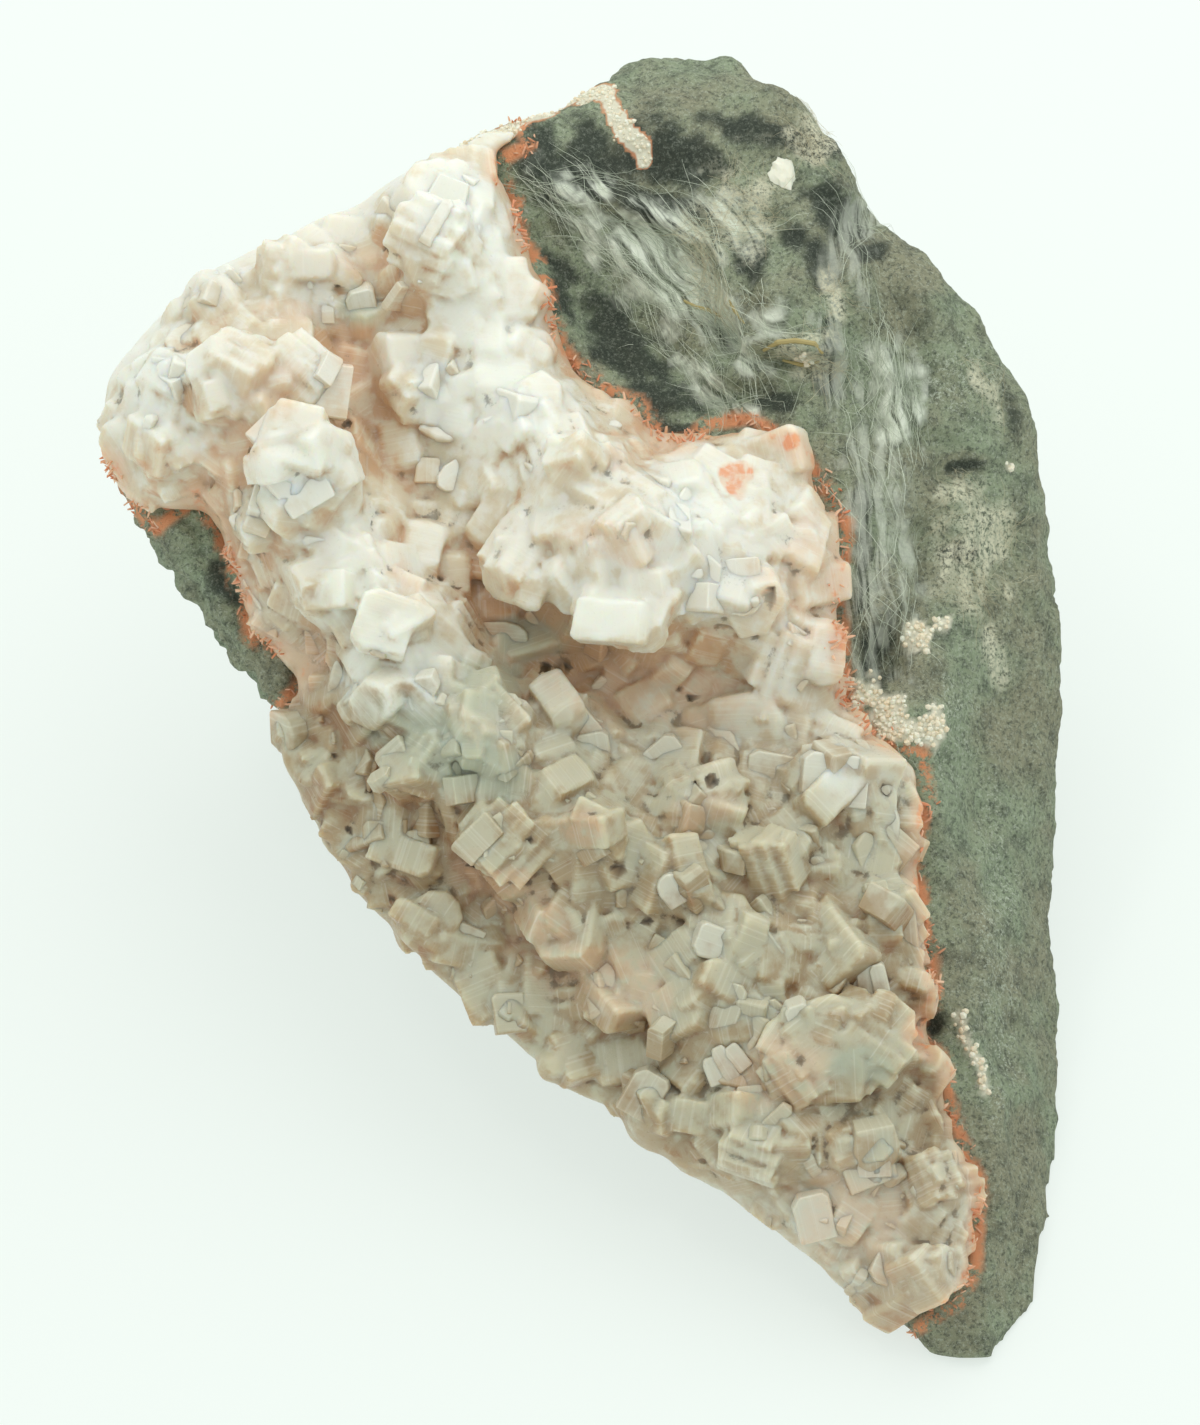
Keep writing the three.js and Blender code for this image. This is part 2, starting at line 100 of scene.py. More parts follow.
# %% Crust outline
RIGHT_SIDE = [
    (-10, 75.5), (-9, 71.5), (-12.5, 70), (-13, 68), (-10.5, 64.5), (-10, 60), (-7, 55.5), (-6, 50),
    (-5, 46), (0, 41), (5, 39), (8, 34), (11, 34), (13.5, 36.5), (19, 37), (24, 34), (28, 29), (31, 24),
    (30, 14), (31, 1.5), (35, -3), (40.5, -5.5), (41, -11), (39, -18.5), (41, -26), (42, -36), (39, -40),
    (43, -43.5), (44, -50), (46, -56), (47.5, -58.5), (47, -69), (45, -73.5), (38, -78),
]
FREE_EDGE = [
    (33.5, -76), (28.5, -70), (24.5, -66), (18, -62), (11, -58), (5, -53), (-5, -46.5), (-10, -41),
    (-15, -38), (-21, -32.5), (-27, -28.5), (-31, -22), (-34, -17), (-37, -11.5), (-39.5, -6),
]
LEFT_NOTCH = [
    (-42, 0), (-38, 3), (-36, 6.5), (-44, 9.5), (-45, 15), (-48, 23), (-51, 27), (-56, 23),
    (-59, 26.5), (-61, 31), (-63, 32),
]
TOP_EDGE = [
    (-63.5, 35), (-63, 39), (-61, 43), (-56, 49), (-52.5, 53), (-48, 56), (-41, 59.5), (-35, 62),
    (-28.5, 64), (-26, 67), (-22, 72), (-16, 73.5),
]
CRUST_OUTLINE = np.array(RIGHT_SIDE + FREE_EDGE + LEFT_NOTCH + TOP_EDGE)
print("crust outline:", len(CRUST_OUTLINE), "points,", np.ptp(CRUST_OUTLINE, axis=0), "mm across and up")

# %% Distances to the outline
def path_distance(places, path, closed=False):
    """Distance in millimetres from each place to the nearest point of a path in the face plane."""
    starts = np.asarray(path, float)
    ends = np.roll(starts, -1, axis=0) if closed else starts[1:]
    nearest = np.full(len(places), np.inf)
    for a, b in zip(starts, ends):
        along = np.clip(((places - a) @ (b - a)) / ((b - a) @ (b - a)), 0, 1)
        nearest = np.minimum(nearest, np.linalg.norm(places - a - along[:, None] * (b - a), axis=1))
    return nearest


def outside_crust(places):
    """Distance in millimetres outside the crust's outline, negative inside it."""
    x, y = places[:, 0], places[:, 1]
    inside = np.zeros(len(places), bool)
    for (ax, ay), (bx, by) in zip(CRUST_OUTLINE, np.roll(CRUST_OUTLINE, -1, axis=0)):
        if ay != by:
            inside ^= ((ay > y) != (by > y)) & (x < ax + (y - ay) * (bx - ax) / (by - ay))
    distance = path_distance(places, CRUST_OUTLINE, closed=True)
    return np.where(inside, -distance, distance)


def edge_distances(flat):
    """Distances in millimetres from places in the face plane to the rock's side and the free edges."""
    rock_side = np.minimum(path_distance(flat, RIGHT_SIDE), path_distance(flat, LEFT_NOTCH))
    return rock_side, np.minimum(path_distance(flat, FREE_EDGE), path_distance(flat, TOP_EDGE))


# %% [markdown]
# ## Mesh helpers
# A CAD node's mesh is loose triangles, so a copy is merged first. The voxel remesh then gives an even
# skin of small quads that can be pushed in and out to carve detail. Modifiers are evaluated into a plain
# mesh, so nothing live is left on a piece.

# %% Merged copies
def smoothstep(values, low, high):
    t = np.clip((values - low) / (high - low), 0, 1)
    return t * t * (3 - 2 * t)


def new_object(name, mesh):
    obj = bpy.data.objects.new(name, mesh)
    bpy.context.scene.collection.objects.link(obj)
    return obj


def merged_copy(node, name):
    """A new object with the CAD node's mesh, its loose triangles joined."""
    mesh = frame["nodes"][node].data.copy()
    mesh.materials.clear()
    bm = bmesh.new()
    bm.from_mesh(mesh)
    bmesh.ops.remove_doubles(bm, verts=bm.verts, dist=0.01 * MM)
    bm.to_mesh(mesh)
    bm.free()
    mesh.name = name
    return new_object(name, mesh)


# %% Modifiers made plain
def evaluated(obj):
    """Turns an object's modifiers into its plain mesh."""
    depsgraph = bpy.context.evaluated_depsgraph_get()
    mesh = bpy.data.meshes.new_from_object(
        obj.evaluated_get(depsgraph), preserve_all_data_layers=True, depsgraph=depsgraph)
    obj.modifiers.clear()
    old = obj.data
    obj.data = mesh
    mesh.name = obj.name
    bpy.data.meshes.remove(old)
    return obj


def add_remesh(obj, voxel):
    """Rebuilds an object's skin as even quads of the voxel's size in millimetres."""
    remesh = obj.modifiers.new("Even skin", "REMESH")
    remesh.mode = "VOXEL"
    remesh.voxel_size = voxel * MM


def add_relax(obj, factor, rounds):
    relax = obj.modifiers.new("Relax", "SMOOTH")
    relax.factor = factor
    relax.iterations = rounds


def resurfaced(obj, voxel, smoothing):
    """An even skin, relaxed a number of times, as a plain mesh."""
    add_remesh(obj, voxel)
    add_relax(obj, 0.5, smoothing)
    return evaluated(obj)


# %% Vertices and attributes
def vertices(mesh):
    co = np.empty(len(mesh.vertices) * 3, np.float32)
    mesh.vertices.foreach_get("co", co)
    return co.reshape(-1, 3).astype(float)


def normals(mesh):
    out = np.empty(len(mesh.vertices) * 3, np.float32)
    mesh.vertex_normals.foreach_get("vector", out)
    return out.reshape(-1, 3).astype(float)


def move_vertices(mesh, points):
    mesh.vertices.foreach_set("co", points.astype(np.float32).ravel())
    mesh.update()


def set_attribute(mesh, name, values, kind="FLOAT"):
    layer = mesh.attributes.get(name) or mesh.attributes.new(name, kind, "POINT")
    field = "value" if kind == "FLOAT" else "vector"
    layer.data.foreach_set(field, np.asarray(values, np.float32).ravel())


def read_attribute(mesh, name, width=1):
    values = np.zeros(len(mesh.vertices) * width, np.float32)
    layer = mesh.attributes.get(name)
    if layer:
        layer.data.foreach_get("value" if width == 1 else "vector", values)
    return values if width == 1 else values.reshape(-1, width)


def triangles(mesh):
    return sum(len(p.vertices) - 2 for p in mesh.polygons)


# %% Noise and ovals
def fractal(points, size, octaves=3, shift=0.0):
    """Smooth noise at each point, about -1 to 1, with lumps of the given size in the points' unit."""
    return np.array([noise.fractal(p, 1.0, 2.0, octaves) for p in (points / size + shift).tolist()])


def ridges(points, size, shift=0.0):
    """0 in the middle of irregular cells of the given size, rising to 1 at the edges between them."""
    values = []
    for p in (points / size + shift).tolist():
        near = noise.voronoi(p)[0]
        values.append(near[1] - near[0])
    return 1 - np.clip(np.array(values) * 2, 0, 1)


def oval(places, across, up, length, width, turn):
    """1 at the middle of an oval on the face, falling smoothly to about a third at its edge."""
    angle = math.radians(turn)
    dx, dy = places[:, 0] - across, places[:, 1] - up
    along = (dx * math.cos(angle) + dy * math.sin(angle)) / length
    beside = (dy * math.cos(angle) - dx * math.sin(angle)) / width
    return np.exp(-along ** 2 - beside ** 2)


def oval_mask(places, areas, rough, low=0.25, high=0.75):
    """The strongest of some ovals at each place, its edge broken up by noise."""
    strength = np.zeros(len(places))
    for area in areas:
        strength = np.maximum(strength, oval(places, *area))
    return smoothstep(strength + rough * smoothstep(strength, 0.02, 0.3), low, high)


# %% [markdown]
# ## The basalt
# Basalt breaks in shallow scoops with sharp brows between them, and a grain too fine to see as form.
# The CAD block has the scoops and the big faces. Here its copy gets an even skin, then is pushed in and
# out by noise of three sizes, and by forms that sit at known places on the bare rock: the boss, the
# trough beside the crust and the folds in the hollow.

# %% Forms on the bare rock
ROCK_VOXEL = 0.76
ROCK_FORMS = [  # across, up, half length, half width, turn in degrees, lift: millimetres
    (-1.0, 50.0, 14.0, 2.6, -52, -2.2),
    (3.0, 57.0, 16.0, 2.0, -48, 1.8),
    (9.0, 45.0, 13.0, 2.6, -50, -2.2),
    (10.0, 61.0, 12.0, 1.8, -30, 1.8),
    (2.0, 64.5, 10.0, 1.6, -14, 1.4),
    (16.6, 54.0, 1.3, 6.5, 12, 2.4),
    (15.8, 47.5, 1.6, 2.2, 20, -3.4),
    (24.5, 50.5, 5.5, 4.0, -15, 1.6),
    (24.5, 46.2, 6.0, 1.1, -6, 2.2),
    (24.0, 43.8, 6.0, 1.0, -8, -2.0),
    (18.0, 40.5, 5.0, 1.0, 6, -2.4),
    (29.5, 57.0, 2.2, 8.0, -25, -3.0),
    (33.5, 52.0, 1.6, 9.0, 24, 1.6),
    (26.0, 66.0, 8.0, 2.2, -35, -1.6),
    (27.0, 71.5, 5.0, 1.6, -38, -2.2),
    (20.0, 77.0, 7.0, 2.0, -25, 1.4),
    (-7.5, 53.0, 2.2, 3.0, 15, 1.8),
    (36.0, 44.0, 1.8, 12.0, 14, 1.8),
    (40.0, 47.0, 1.4, 9.0, 24, -1.4),
    (43.0, 34.0, 5.0, 2.2, -30, -2.0),
    (45.0, 30.0, 4.0, 1.8, 0, -2.6),
    (45.5, 23.0, 3.0, 4.0, 10, 1.6),
    (46.5, 13.0, 4.0, 6.0, 10, 1.8),
    (41.0, 20.0, 1.2, 8.0, 4, -1.6),
    (36.5, 7.0, 2.2, 3.0, 10, -3.6),
    (39.5, -1.0, 4.5, 3.4, 20, 1.8),
    (48.0, -12.0, 2.2, 12.0, 6, -1.0),
    (46.5, -42.0, 1.0, 5.0, 16, 0.8),
    (51.0, -50.0, 3.0, 10.0, -4, 0.8),
    (41.0, -39.0, 2.0, 1.6, -40, -2.6),
    (-46.0, 16.0, 2.4, 4.0, -40, 1.2),
    (-41.0, 6.0, 2.2, 2.6, 0, 1.2),
    (-53.0, 24.0, 3.0, 1.6, 40, 0.8),
]
print(len(ROCK_FORMS), "forms on the rock")


# %% Carved block
def carved_rock():
    """The block with its scoops, chips and grain, sunk a little where the crust hides it."""
    obj = resurfaced(merged_copy("basalt_matrix", "basalt_block"), ROCK_VOXEL, smoothing=3)
    points, facing = vertices(obj.data), normals(obj.data)
    grain, places = points / MM, to_face(points)
    chips = smoothstep(fractal(grain, 22, 2, 5.0), -0.2, 0.3)
    lift = 0.05 + 0.8 * fractal(grain, 13, 3) + 0.5 * fractal(grain, 4.2, 3, 3.1)
    lift += 0.22 * fractal(grain, 1.6, 2, 7.7) + 0.8 * (ridges(grain, 9, 1.3) - 0.5) * chips
    left_chip = smoothstep(-places[:, 0], 30, 36) * smoothstep(places[:, 1], -6, 0)
    chipped = 1.1 * (0.6 - ridges(grain, 3.4, 6.1)) + 0.4 * fractal(grain, 2.2, 2, 9.1)
    brow = (smoothstep(places[:, 1], 70, 78) * smoothstep(places[:, 0], 4, 9)
            * smoothstep(facing @ UP, -0.1, 0.4))
    lift += 0.8 * brow + left_chip * chipped
    from_front = smoothstep(facing @ OUT, 0.05, 0.4)
    for *area, height in ROCK_FORMS:
        lift += from_front * height * oval(places, *area)
    under_crust = smoothstep(-outside_crust(places[:, :2]), 0.6, 3.0) * from_front
    lift = lift * (1 - under_crust) - 0.9 * under_crust
    standing = smoothstep(points[:, 2] / MM, 0.4, 3.5)
    carved = points + facing * (lift * standing)[:, None] * MM
    carved[:, 2] = np.maximum(carved[:, 2], 0)
    move_vertices(obj.data, carved)
    return obj


rock = carved_rock()
print("basalt block:", triangles(rock.data), "triangles")

# %% [markdown]
# ## Shapes of single crystals
# Most crystals here lie with a broad face outwards and fit together like a rough mosaic: squarish tiles,
# coffin shapes, rounded blades and stairs of thin plates. A few stand on edge. Each is modelled once,
# about one unit across, rooted below the origin, and has few faces because it is repeated many hundreds
# of times.

# %% Plates and prisms
PRISM_ROOT = -0.45
PRISM_RIM = 0.05


def joined_rings(bm, rings):
    """Skins a row of matching rings of vertices, and closes both ends."""
    for low, high in zip(rings, rings[1:]):
        for i in range(len(low)):
            j = (i + 1) % len(low)
            bm.faces.new((low[i], low[j], high[j], high[i]))
    bm.faces.new(rings[0][::-1])
    bm.faces.new(rings[-1])


def add_plate(bm, outline, thickness, taper):
    """A plate with the given outline in the XZ plane, thick along Y, narrowing to its two flat faces."""
    joined_rings(bm, [[bm.verts.new((x * scale, side * thickness, z)) for x, z in outline]
                      for side, scale in ((-0.5, taper), (0.0, 1.0), (0.5, taper))])


def add_prism(bm, outline, top=0.1, face=0.92):
    """A crystal lying with its broad face up, the rim of that face cut back a little."""
    joined_rings(bm, [[bm.verts.new((x * scale, y * scale, z)) for x, y in outline]
                      for z, scale in ((PRISM_ROOT, 0.9), (top - PRISM_RIM, 1.0), (top, face))])


def arc(radius, height, rise, degrees):
    return [(radius * math.sin(a), height + rise * math.cos(a)) for a in np.radians(degrees)]


# %% Crystal shapes
def tile(bm):
    add_prism(bm, [(-0.5, -0.38), (0.46, -0.4), (0.5, 0.28), (0.4, 0.38), (-0.5, 0.36)])


def long_tile(bm):
    add_prism(bm, [(-0.52, -0.24), (0.4, -0.26), (0.52, -0.14), (0.52, 0.24), (-0.46, 0.26)], top=0.16)


def coffin(bm):
    add_prism(bm, [(-0.52, 0.04), (-0.3, -0.28), (0.32, -0.3), (0.54, -0.02), (0.3, 0.3), (-0.28, 0.3)],
              top=0.14)


def rounded_blade(bm):
    tip = arc(0.45, 0.0, 0.5, [96, 60, 25, -12, -48, -88])
    add_prism(bm, [(-0.36, -0.5), (0.36, -0.5)] + tip, face=0.86)


def edge_blade(bm):
    """A plate seen on its edge, standing a little out of the rest."""
    add_prism(bm, [(-0.5, -0.14), (0.4, -0.15), (0.5, -0.04), (0.44, 0.13), (-0.48, 0.14)], 0.2, face=0.8)


def stairs(bm):
    """Five thin plates side by side, each ending at its own height, as in a sheaf."""
    for n, (top, reach) in enumerate([(0.02, 0.4), (0.12, 0.5), (0.18, 0.46), (0.07, 0.5), (0.0, 0.36)]):
        low, high = -0.5 + 0.2 * n, -0.27 + 0.2 * n
        add_prism(bm, [(-reach, low), (reach * 0.9, low), (reach, high), (-reach * 0.95, high)], top,
                  face=0.97)


def ridge(bm):
    outline = [(-0.42, -0.5), (0.42, -0.5), (0.46, 0.1), (0.3, 0.26), (-0.34, 0.24), (-0.46, 0.06)]
    add_plate(bm, outline, 0.5, taper=0.86)


# %% Slivers, lumps and strands
STRAND_STEPS = 9
STRAND_RADIUS = 0.0022
STRAND_SWAY = 0.12


def sliver(bm):
    add_plate(bm, [(-0.16, -0.3), (0.16, -0.3), (0.13, 0.5), (0.0, 0.8), (-0.13, 0.45)], 0.2, taper=0.6)


def grain_lump(bm):
    bmesh.ops.create_icosphere(bm, subdivisions=1, radius=0.5)
    for vertex in bm.verts:
        vertex.co *= 0.8 + 0.35 * noise.random()


def strand(bm):
    """A thin curled fibre, one unit long, with three sides and pointed ends."""
    bends = [noise.random_vector() for _ in range(3)]
    rings = []
    for step in range(STRAND_STEPS + 1):
        t = step / STRAND_STEPS
        sway = sum((bends[k] * math.sin((k + 1) * math.pi * t + k) * STRAND_SWAY / (k + 1)
                    for k in range(3)), Vector())
        centre = Vector((t - 0.5 + 0.5 * sway.x, sway.y, 0.0))
        radius = STRAND_RADIUS * (1.0 if 0 < step < STRAND_STEPS else 0.3)
        rings.append([bm.verts.new(centre + Vector((0, radius * math.cos(a), radius * math.sin(a))))
                      for a in (0.0, 2.1, 4.2)])
    joined_rings(bm, rings)


# %% Collections to pick from
def shape_collection(name, builders, bevel=0.0):
    """A hidden collection of prototype meshes, one for each builder, in the order given."""
    collection = bpy.data.collections.new(name)
    for index, build in enumerate(builders):
        bm = bmesh.new()
        build(bm)
        bmesh.ops.recalc_face_normals(bm, faces=bm.faces)
        if bevel:
            bmesh.ops.bevel(bm, geom=list(bm.edges), offset=bevel, segments=1, affect="EDGES",
                            clamp_overlap=True)
        mesh = bpy.data.meshes.new(f"{name}_{index}_{build.__name__}")
        bm.to_mesh(mesh)
        bm.free()
        collection.objects.link(bpy.data.objects.new(mesh.name, mesh))
    return collection


noise.seed_set(5)
BIG_SHAPES = shape_collection("big_crystals", [
    tile, coffin, rounded_blade, stairs, long_tile, tile, ridge])
CRISP_SHAPES = shape_collection("crisp_crystals", [
    tile, coffin, long_tile, rounded_blade, edge_blade, tile], bevel=0.02)
SLIVERS = shape_collection("slivers", [sliver] * 3)
LUMPS = shape_collection("lumps", [grain_lump] * 3)
STRANDS = shape_collection("strands", [strand] * 7)

# %% [markdown]
# ## The scatter tree
# Geometry Nodes scatter shapes over a surface: points at least one spacing apart, each with a shape
# picked at random, stood on the surface, turned to the flow direction if the surface has one, then leant
# and spun by a seeded amount. A named attribute says how thickly each part of the surface is covered.
# Each crystal keeps one random tone and the direction of its own striations. The tree ends by realizing
# the instances, because the export keeps only real meshes.

# %% Helpers for node trees
def link(tree, pairs):
    for source, target in pairs:
        tree.links.new(source, target)


def node_of(tree, kind, **settings):
    node = tree.nodes.new(kind)
    for name, value in settings.items():
        setattr(node, name, value)
    return node


def new_tree(name, inputs):
    """A Geometry Nodes tree with a geometry input and output and the given named inputs."""
    tree = bpy.data.node_groups.new(name, "GeometryNodeTree")
    face = tree.interface
    face.new_socket("Geometry", in_out="INPUT", socket_type="NodeSocketGeometry")
    for label, kind in inputs:
        face.new_socket(label, in_out="INPUT", socket_type="NodeSocket" + kind)
    face.new_socket("Geometry", in_out="OUTPUT", socket_type="NodeSocketGeometry")
    return tree, tree.nodes.new("NodeGroupInput"), tree.nodes.new("NodeGroupOutput")


RANDOM_SOCKETS = {"FLOAT": (2, 3, 1), "FLOAT_VECTOR": (0, 1, 0), "INT": (4, 5, 2)}


def random_value(tree, kind, low, high, seed, shift):
    """A Random Value node between two sockets or numbers, with its own share of the seed."""
    node = node_of(tree, "FunctionNodeRandomValue", data_type=kind)
    first, second, out = RANDOM_SOCKETS[kind]
    for index, value in ((first, low), (second, high)):
        if isinstance(value, bpy.types.NodeSocket):
            tree.links.new(value, node.inputs[index])
        else:
            node.inputs[index].default_value = value
    add = node_of(tree, "ShaderNodeMath", operation="ADD")
    add.inputs[1].default_value = shift
    link(tree, [(seed, add.inputs[0]), (add.outputs[0], node.inputs["Seed"])])
    return node.outputs[out]


def named_field(tree, kind, name):
    node = node_of(tree, "GeometryNodeInputNamedAttribute", data_type=kind)
    if isinstance(name, str):
        node.inputs["Name"].default_value = name
    else:
        tree.links.new(name, node.inputs["Name"])
    return node.outputs["Attribute"]


# %% Turns and stored attributes
def turn_limits(tree, given):
    """The furthest that an instance leans and spins one way, and the furthest the other way."""
    ends = []
    for sign in (-1, 1):
        end = node_of(tree, "ShaderNodeCombineXYZ")
        for axis, name in (("X", "Lean"), ("Y", "Lean"), ("Z", "Spin")):
            scaled = node_of(tree, "ShaderNodeMath", operation="MULTIPLY")
            scaled.inputs[1].default_value = sign
            link(tree, [(given.outputs[name], scaled.inputs[0]), (scaled.outputs[0], end.inputs[axis])])
        ends.append(end.outputs[0])
    return ends


def stored(tree, name, kind):
    """A node that keeps a value of each instance as a named attribute."""
    node = node_of(tree, "GeometryNodeStoreNamedAttribute", data_type=kind, domain="INSTANCE")
    node.inputs["Name"].default_value = name
    return node


# %% Scatter tree
MOST_POINTS = 6.0e6


def scatter_tree():
    """The tree itself: the named inputs first, then the nodes, then all the links in reading order."""
    tree, given, result = new_tree("Scatter", [
        ("Shapes", "Collection"), ("Kinds", "Int"), ("Cover", "String"), ("Spacing", "Float"),
        ("Smallest", "Float"), ("Largest", "Float"), ("Lean", "Float"), ("Spin", "Float"),
        ("Seed", "Int"), ("Finish", "Material")])
    seed = given.outputs["Seed"]
    points = node_of(tree, "GeometryNodeDistributePointsOnFaces", distribute_method="POISSON")
    points.inputs["Density Max"].default_value = MOST_POINTS
    stand = node_of(tree, "FunctionNodeAlignRotationToVector", axis="Z")
    follow = node_of(tree, "FunctionNodeAlignRotationToVector", axis="X", pivot_axis="Z")
    shapes = node_of(tree, "GeometryNodeCollectionInfo")
    shapes.inputs["Separate Children"].default_value = True
    shapes.inputs["Reset Children"].default_value = True
    grow = node_of(tree, "GeometryNodeInstanceOnPoints")
    grow.inputs["Pick Instance"].default_value = True
    last_kind = node_of(tree, "ShaderNodeMath", operation="SUBTRACT")
    last_kind.inputs[1].default_value = 1
    lean = node_of(tree, "GeometryNodeRotateInstances")
    turned = node_of(tree, "GeometryNodeInputInstanceRotation")
    grain = node_of(tree, "FunctionNodeRotateVector")
    grain.inputs["Vector"].default_value = (1, 0, 0)
    tone_store, grain_store = stored(tree, "tone", "FLOAT"), stored(tree, "grain", "FLOAT_VECTOR")
    realize = node_of(tree, "GeometryNodeRealizeInstances")
    finish = node_of(tree, "GeometryNodeSetMaterial")
    link(tree, [
        (given.outputs["Geometry"], points.inputs["Mesh"]),
        (given.outputs["Spacing"], points.inputs["Distance Min"]),
        (named_field(tree, "FLOAT", given.outputs["Cover"]), points.inputs["Density Factor"]),
        (seed, points.inputs["Seed"]),
        (points.outputs["Normal"], stand.inputs["Vector"]),
        (stand.outputs["Rotation"], follow.inputs["Rotation"]),
        (named_field(tree, "FLOAT_VECTOR", "flow"), follow.inputs["Vector"]),
        (points.outputs["Points"], grow.inputs["Points"]),
        (follow.outputs["Rotation"], grow.inputs["Rotation"]),
        (given.outputs["Shapes"], shapes.inputs["Collection"]),
        (shapes.outputs["Instances"], grow.inputs["Instance"]),
        (given.outputs["Kinds"], last_kind.inputs[0]),
        (random_value(tree, "INT", 0, last_kind.outputs[0], seed, 1), grow.inputs["Instance Index"]),
        (random_value(tree, "FLOAT", given.outputs["Smallest"], given.outputs["Largest"], seed, 2),
         grow.inputs["Scale"]),
        (grow.outputs["Instances"], lean.inputs["Instances"]),
        (random_value(tree, "FLOAT_VECTOR", *turn_limits(tree, given), seed, 3), lean.inputs["Rotation"]),
        (lean.outputs["Instances"], tone_store.inputs["Geometry"]),
        (random_value(tree, "FLOAT", 0.0, 1.0, seed, 4), tone_store.inputs["Value"]),
        (tone_store.outputs["Geometry"], grain_store.inputs["Geometry"]),
        (turned.outputs["Rotation"], grain.inputs["Rotation"]),
        (grain.outputs["Vector"], grain_store.inputs["Value"]),
        (grain_store.outputs["Geometry"], realize.inputs["Geometry"]),
        (realize.outputs["Geometry"], finish.inputs["Geometry"]),
        (given.outputs["Finish"], finish.inputs["Material"]),
        (finish.outputs["Geometry"], result.inputs["Geometry"]),
    ])
    return tree


SCATTER = scatter_tree()
print("scatter tree:", len(SCATTER.nodes), "nodes")


# %% Scatter over a surface
def scatter(name, surface, shapes, spacing, size, cover="cover", lean=0.8, spin=math.pi, seed=1,
            finish=None):
    """A new object of shapes scattered over a surface, with spacing and sizes in millimetres."""
    obj = new_object(name, surface.data.copy())
    modifier = obj.modifiers.new("Scatter", "NODES")
    modifier.node_group = SCATTER
    values = {
        "Shapes": shapes, "Kinds": len(shapes.objects), "Cover": cover, "Spacing": spacing * MM,
        "Smallest": size[0] * MM, "Largest": size[1] * MM, "Lean": lean, "Spin": spin, "Seed": seed,
        "Finish": finish,
    }
    for item in SCATTER.interface.items_tree:
        if item.in_out == "INPUT" and values.get(item.name) is not None:
            modifier[item.identifier] = values[item.name]
    evaluated(obj)
    print(name, triangles(obj.data), "triangles")
    return obj


# %% [markdown]
# ## Node helpers for the finishes
# Each finish reads Object coordinates, in metres, and attributes that the pieces carry: how deep a place
# lies between its neighbours, how near it is to the salmon edge, and the tone of its crystal.

# %% Node helpers for the finishes
def new_material(name):
    material = bpy.data.materials.new(name)
    material.use_nodes = True
    tree = material.node_tree
    return material, tree, tree.nodes["Principled BSDF"]


def set_or_link(tree, socket, value):
    if isinstance(value, bpy.types.NodeSocket):
        tree.links.new(value, socket)
    elif isinstance(value, tuple):
        socket.default_value = (*value, 1.0)
    elif value is not None:
        socket.default_value = value


def mix(tree, factor, a, b):
    node = node_of(tree, "ShaderNodeMix", data_type="RGBA")
    for socket, value in ((node.inputs[0], factor), (node.inputs[6], a), (node.inputs[7], b)):
        set_or_link(tree, socket, value)
    return node.outputs[2]


def calc(tree, operation, a, b=None, c=None):
    node = node_of(tree, "ShaderNodeMath", operation=operation)
    for socket, value in zip(node.inputs, (a, b, c)):
        set_or_link(tree, socket, value)
    return node.outputs[0]


def band(tree, value, low, high):
    """0 below low, 1 above high, smooth in between."""
    node = node_of(tree, "ShaderNodeMapRange", interpolation_type="SMOOTHSTEP")
    tree.links.new(value, node.inputs["Value"])
    node.inputs["From Min"].default_value = low
    node.inputs["From Max"].default_value = high
    return node.outputs["Result"]


def tinted(tree, body, amount, share, colour):
    """Lays a colour over the body, as strongly as amount times share says."""
    return mix(tree, calc(tree, "MULTIPLY", amount, share), body, colour)


# %% Textures and attributes
def noise_texture(tree, position, size, detail, rough=0.55):
    """Noise from 0 to 1 with lumps of the given size in millimetres."""
    node = node_of(tree, "ShaderNodeTexNoise")
    for name, value in (("Scale", 1 / (size * MM)), ("Detail", detail), ("Roughness", rough)):
        node.inputs[name].default_value = value
    tree.links.new(position, node.inputs["Vector"])
    return node.outputs["Fac"]


def line_texture(tree, across, along, **settings):
    """Noise on two values of its own, for lines that follow a crystal or a lock of fibres."""
    pair = node_of(tree, "ShaderNodeCombineXYZ")
    set_or_link(tree, pair.inputs["X"], across)
    set_or_link(tree, pair.inputs["Y"], along)
    node = node_of(tree, "ShaderNodeTexNoise", noise_dimensions="2D")
    for name, value in settings.items():
        node.inputs[name].default_value = value
    tree.links.new(pair.outputs[0], node.inputs["Vector"])
    return node.outputs["Fac"]


def attribute(tree, name):
    return node_of(tree, "ShaderNodeAttribute", attribute_name=name).outputs["Fac"]


def bump(tree, height, strength, distance, normal=None):
    node = node_of(tree, "ShaderNodeBump")
    node.inputs["Strength"].default_value = strength
    node.inputs["Distance"].default_value = distance * MM
    tree.links.new(height, node.inputs["Height"])
    if normal is not None:
        tree.links.new(normal, node.inputs["Normal"])
    return node.outputs["Normal"]


# %% [markdown]
# ### Milky crystal
# The blades are milky: light enters, scatters and comes out again, so they glow softly and their shadows
# are warm. None of them is clear enough to look through, so scattering does this better than transmission.
# Raised faces and faces turned to the light are painted nearly white, their convex edges lighter still,
# and the depths and creases between them peach and brown: painted light and shade. Some single crystals
# are painted whiter where they glint, a painted highlight. Pits and cracks are dark brown. Fine striations
# run along each crystal. In the crisp blades light travels less far, which keeps their edges sharp.

# %% Crystal colours
UPPER_COLOURS = ((0.77, 0.75, 0.67), (0.69, 0.61, 0.465), (0.62, 0.41, 0.255))
LOWER_COLOURS = ((0.54, 0.515, 0.385), (0.42, 0.325, 0.2), (0.34, 0.19, 0.09))
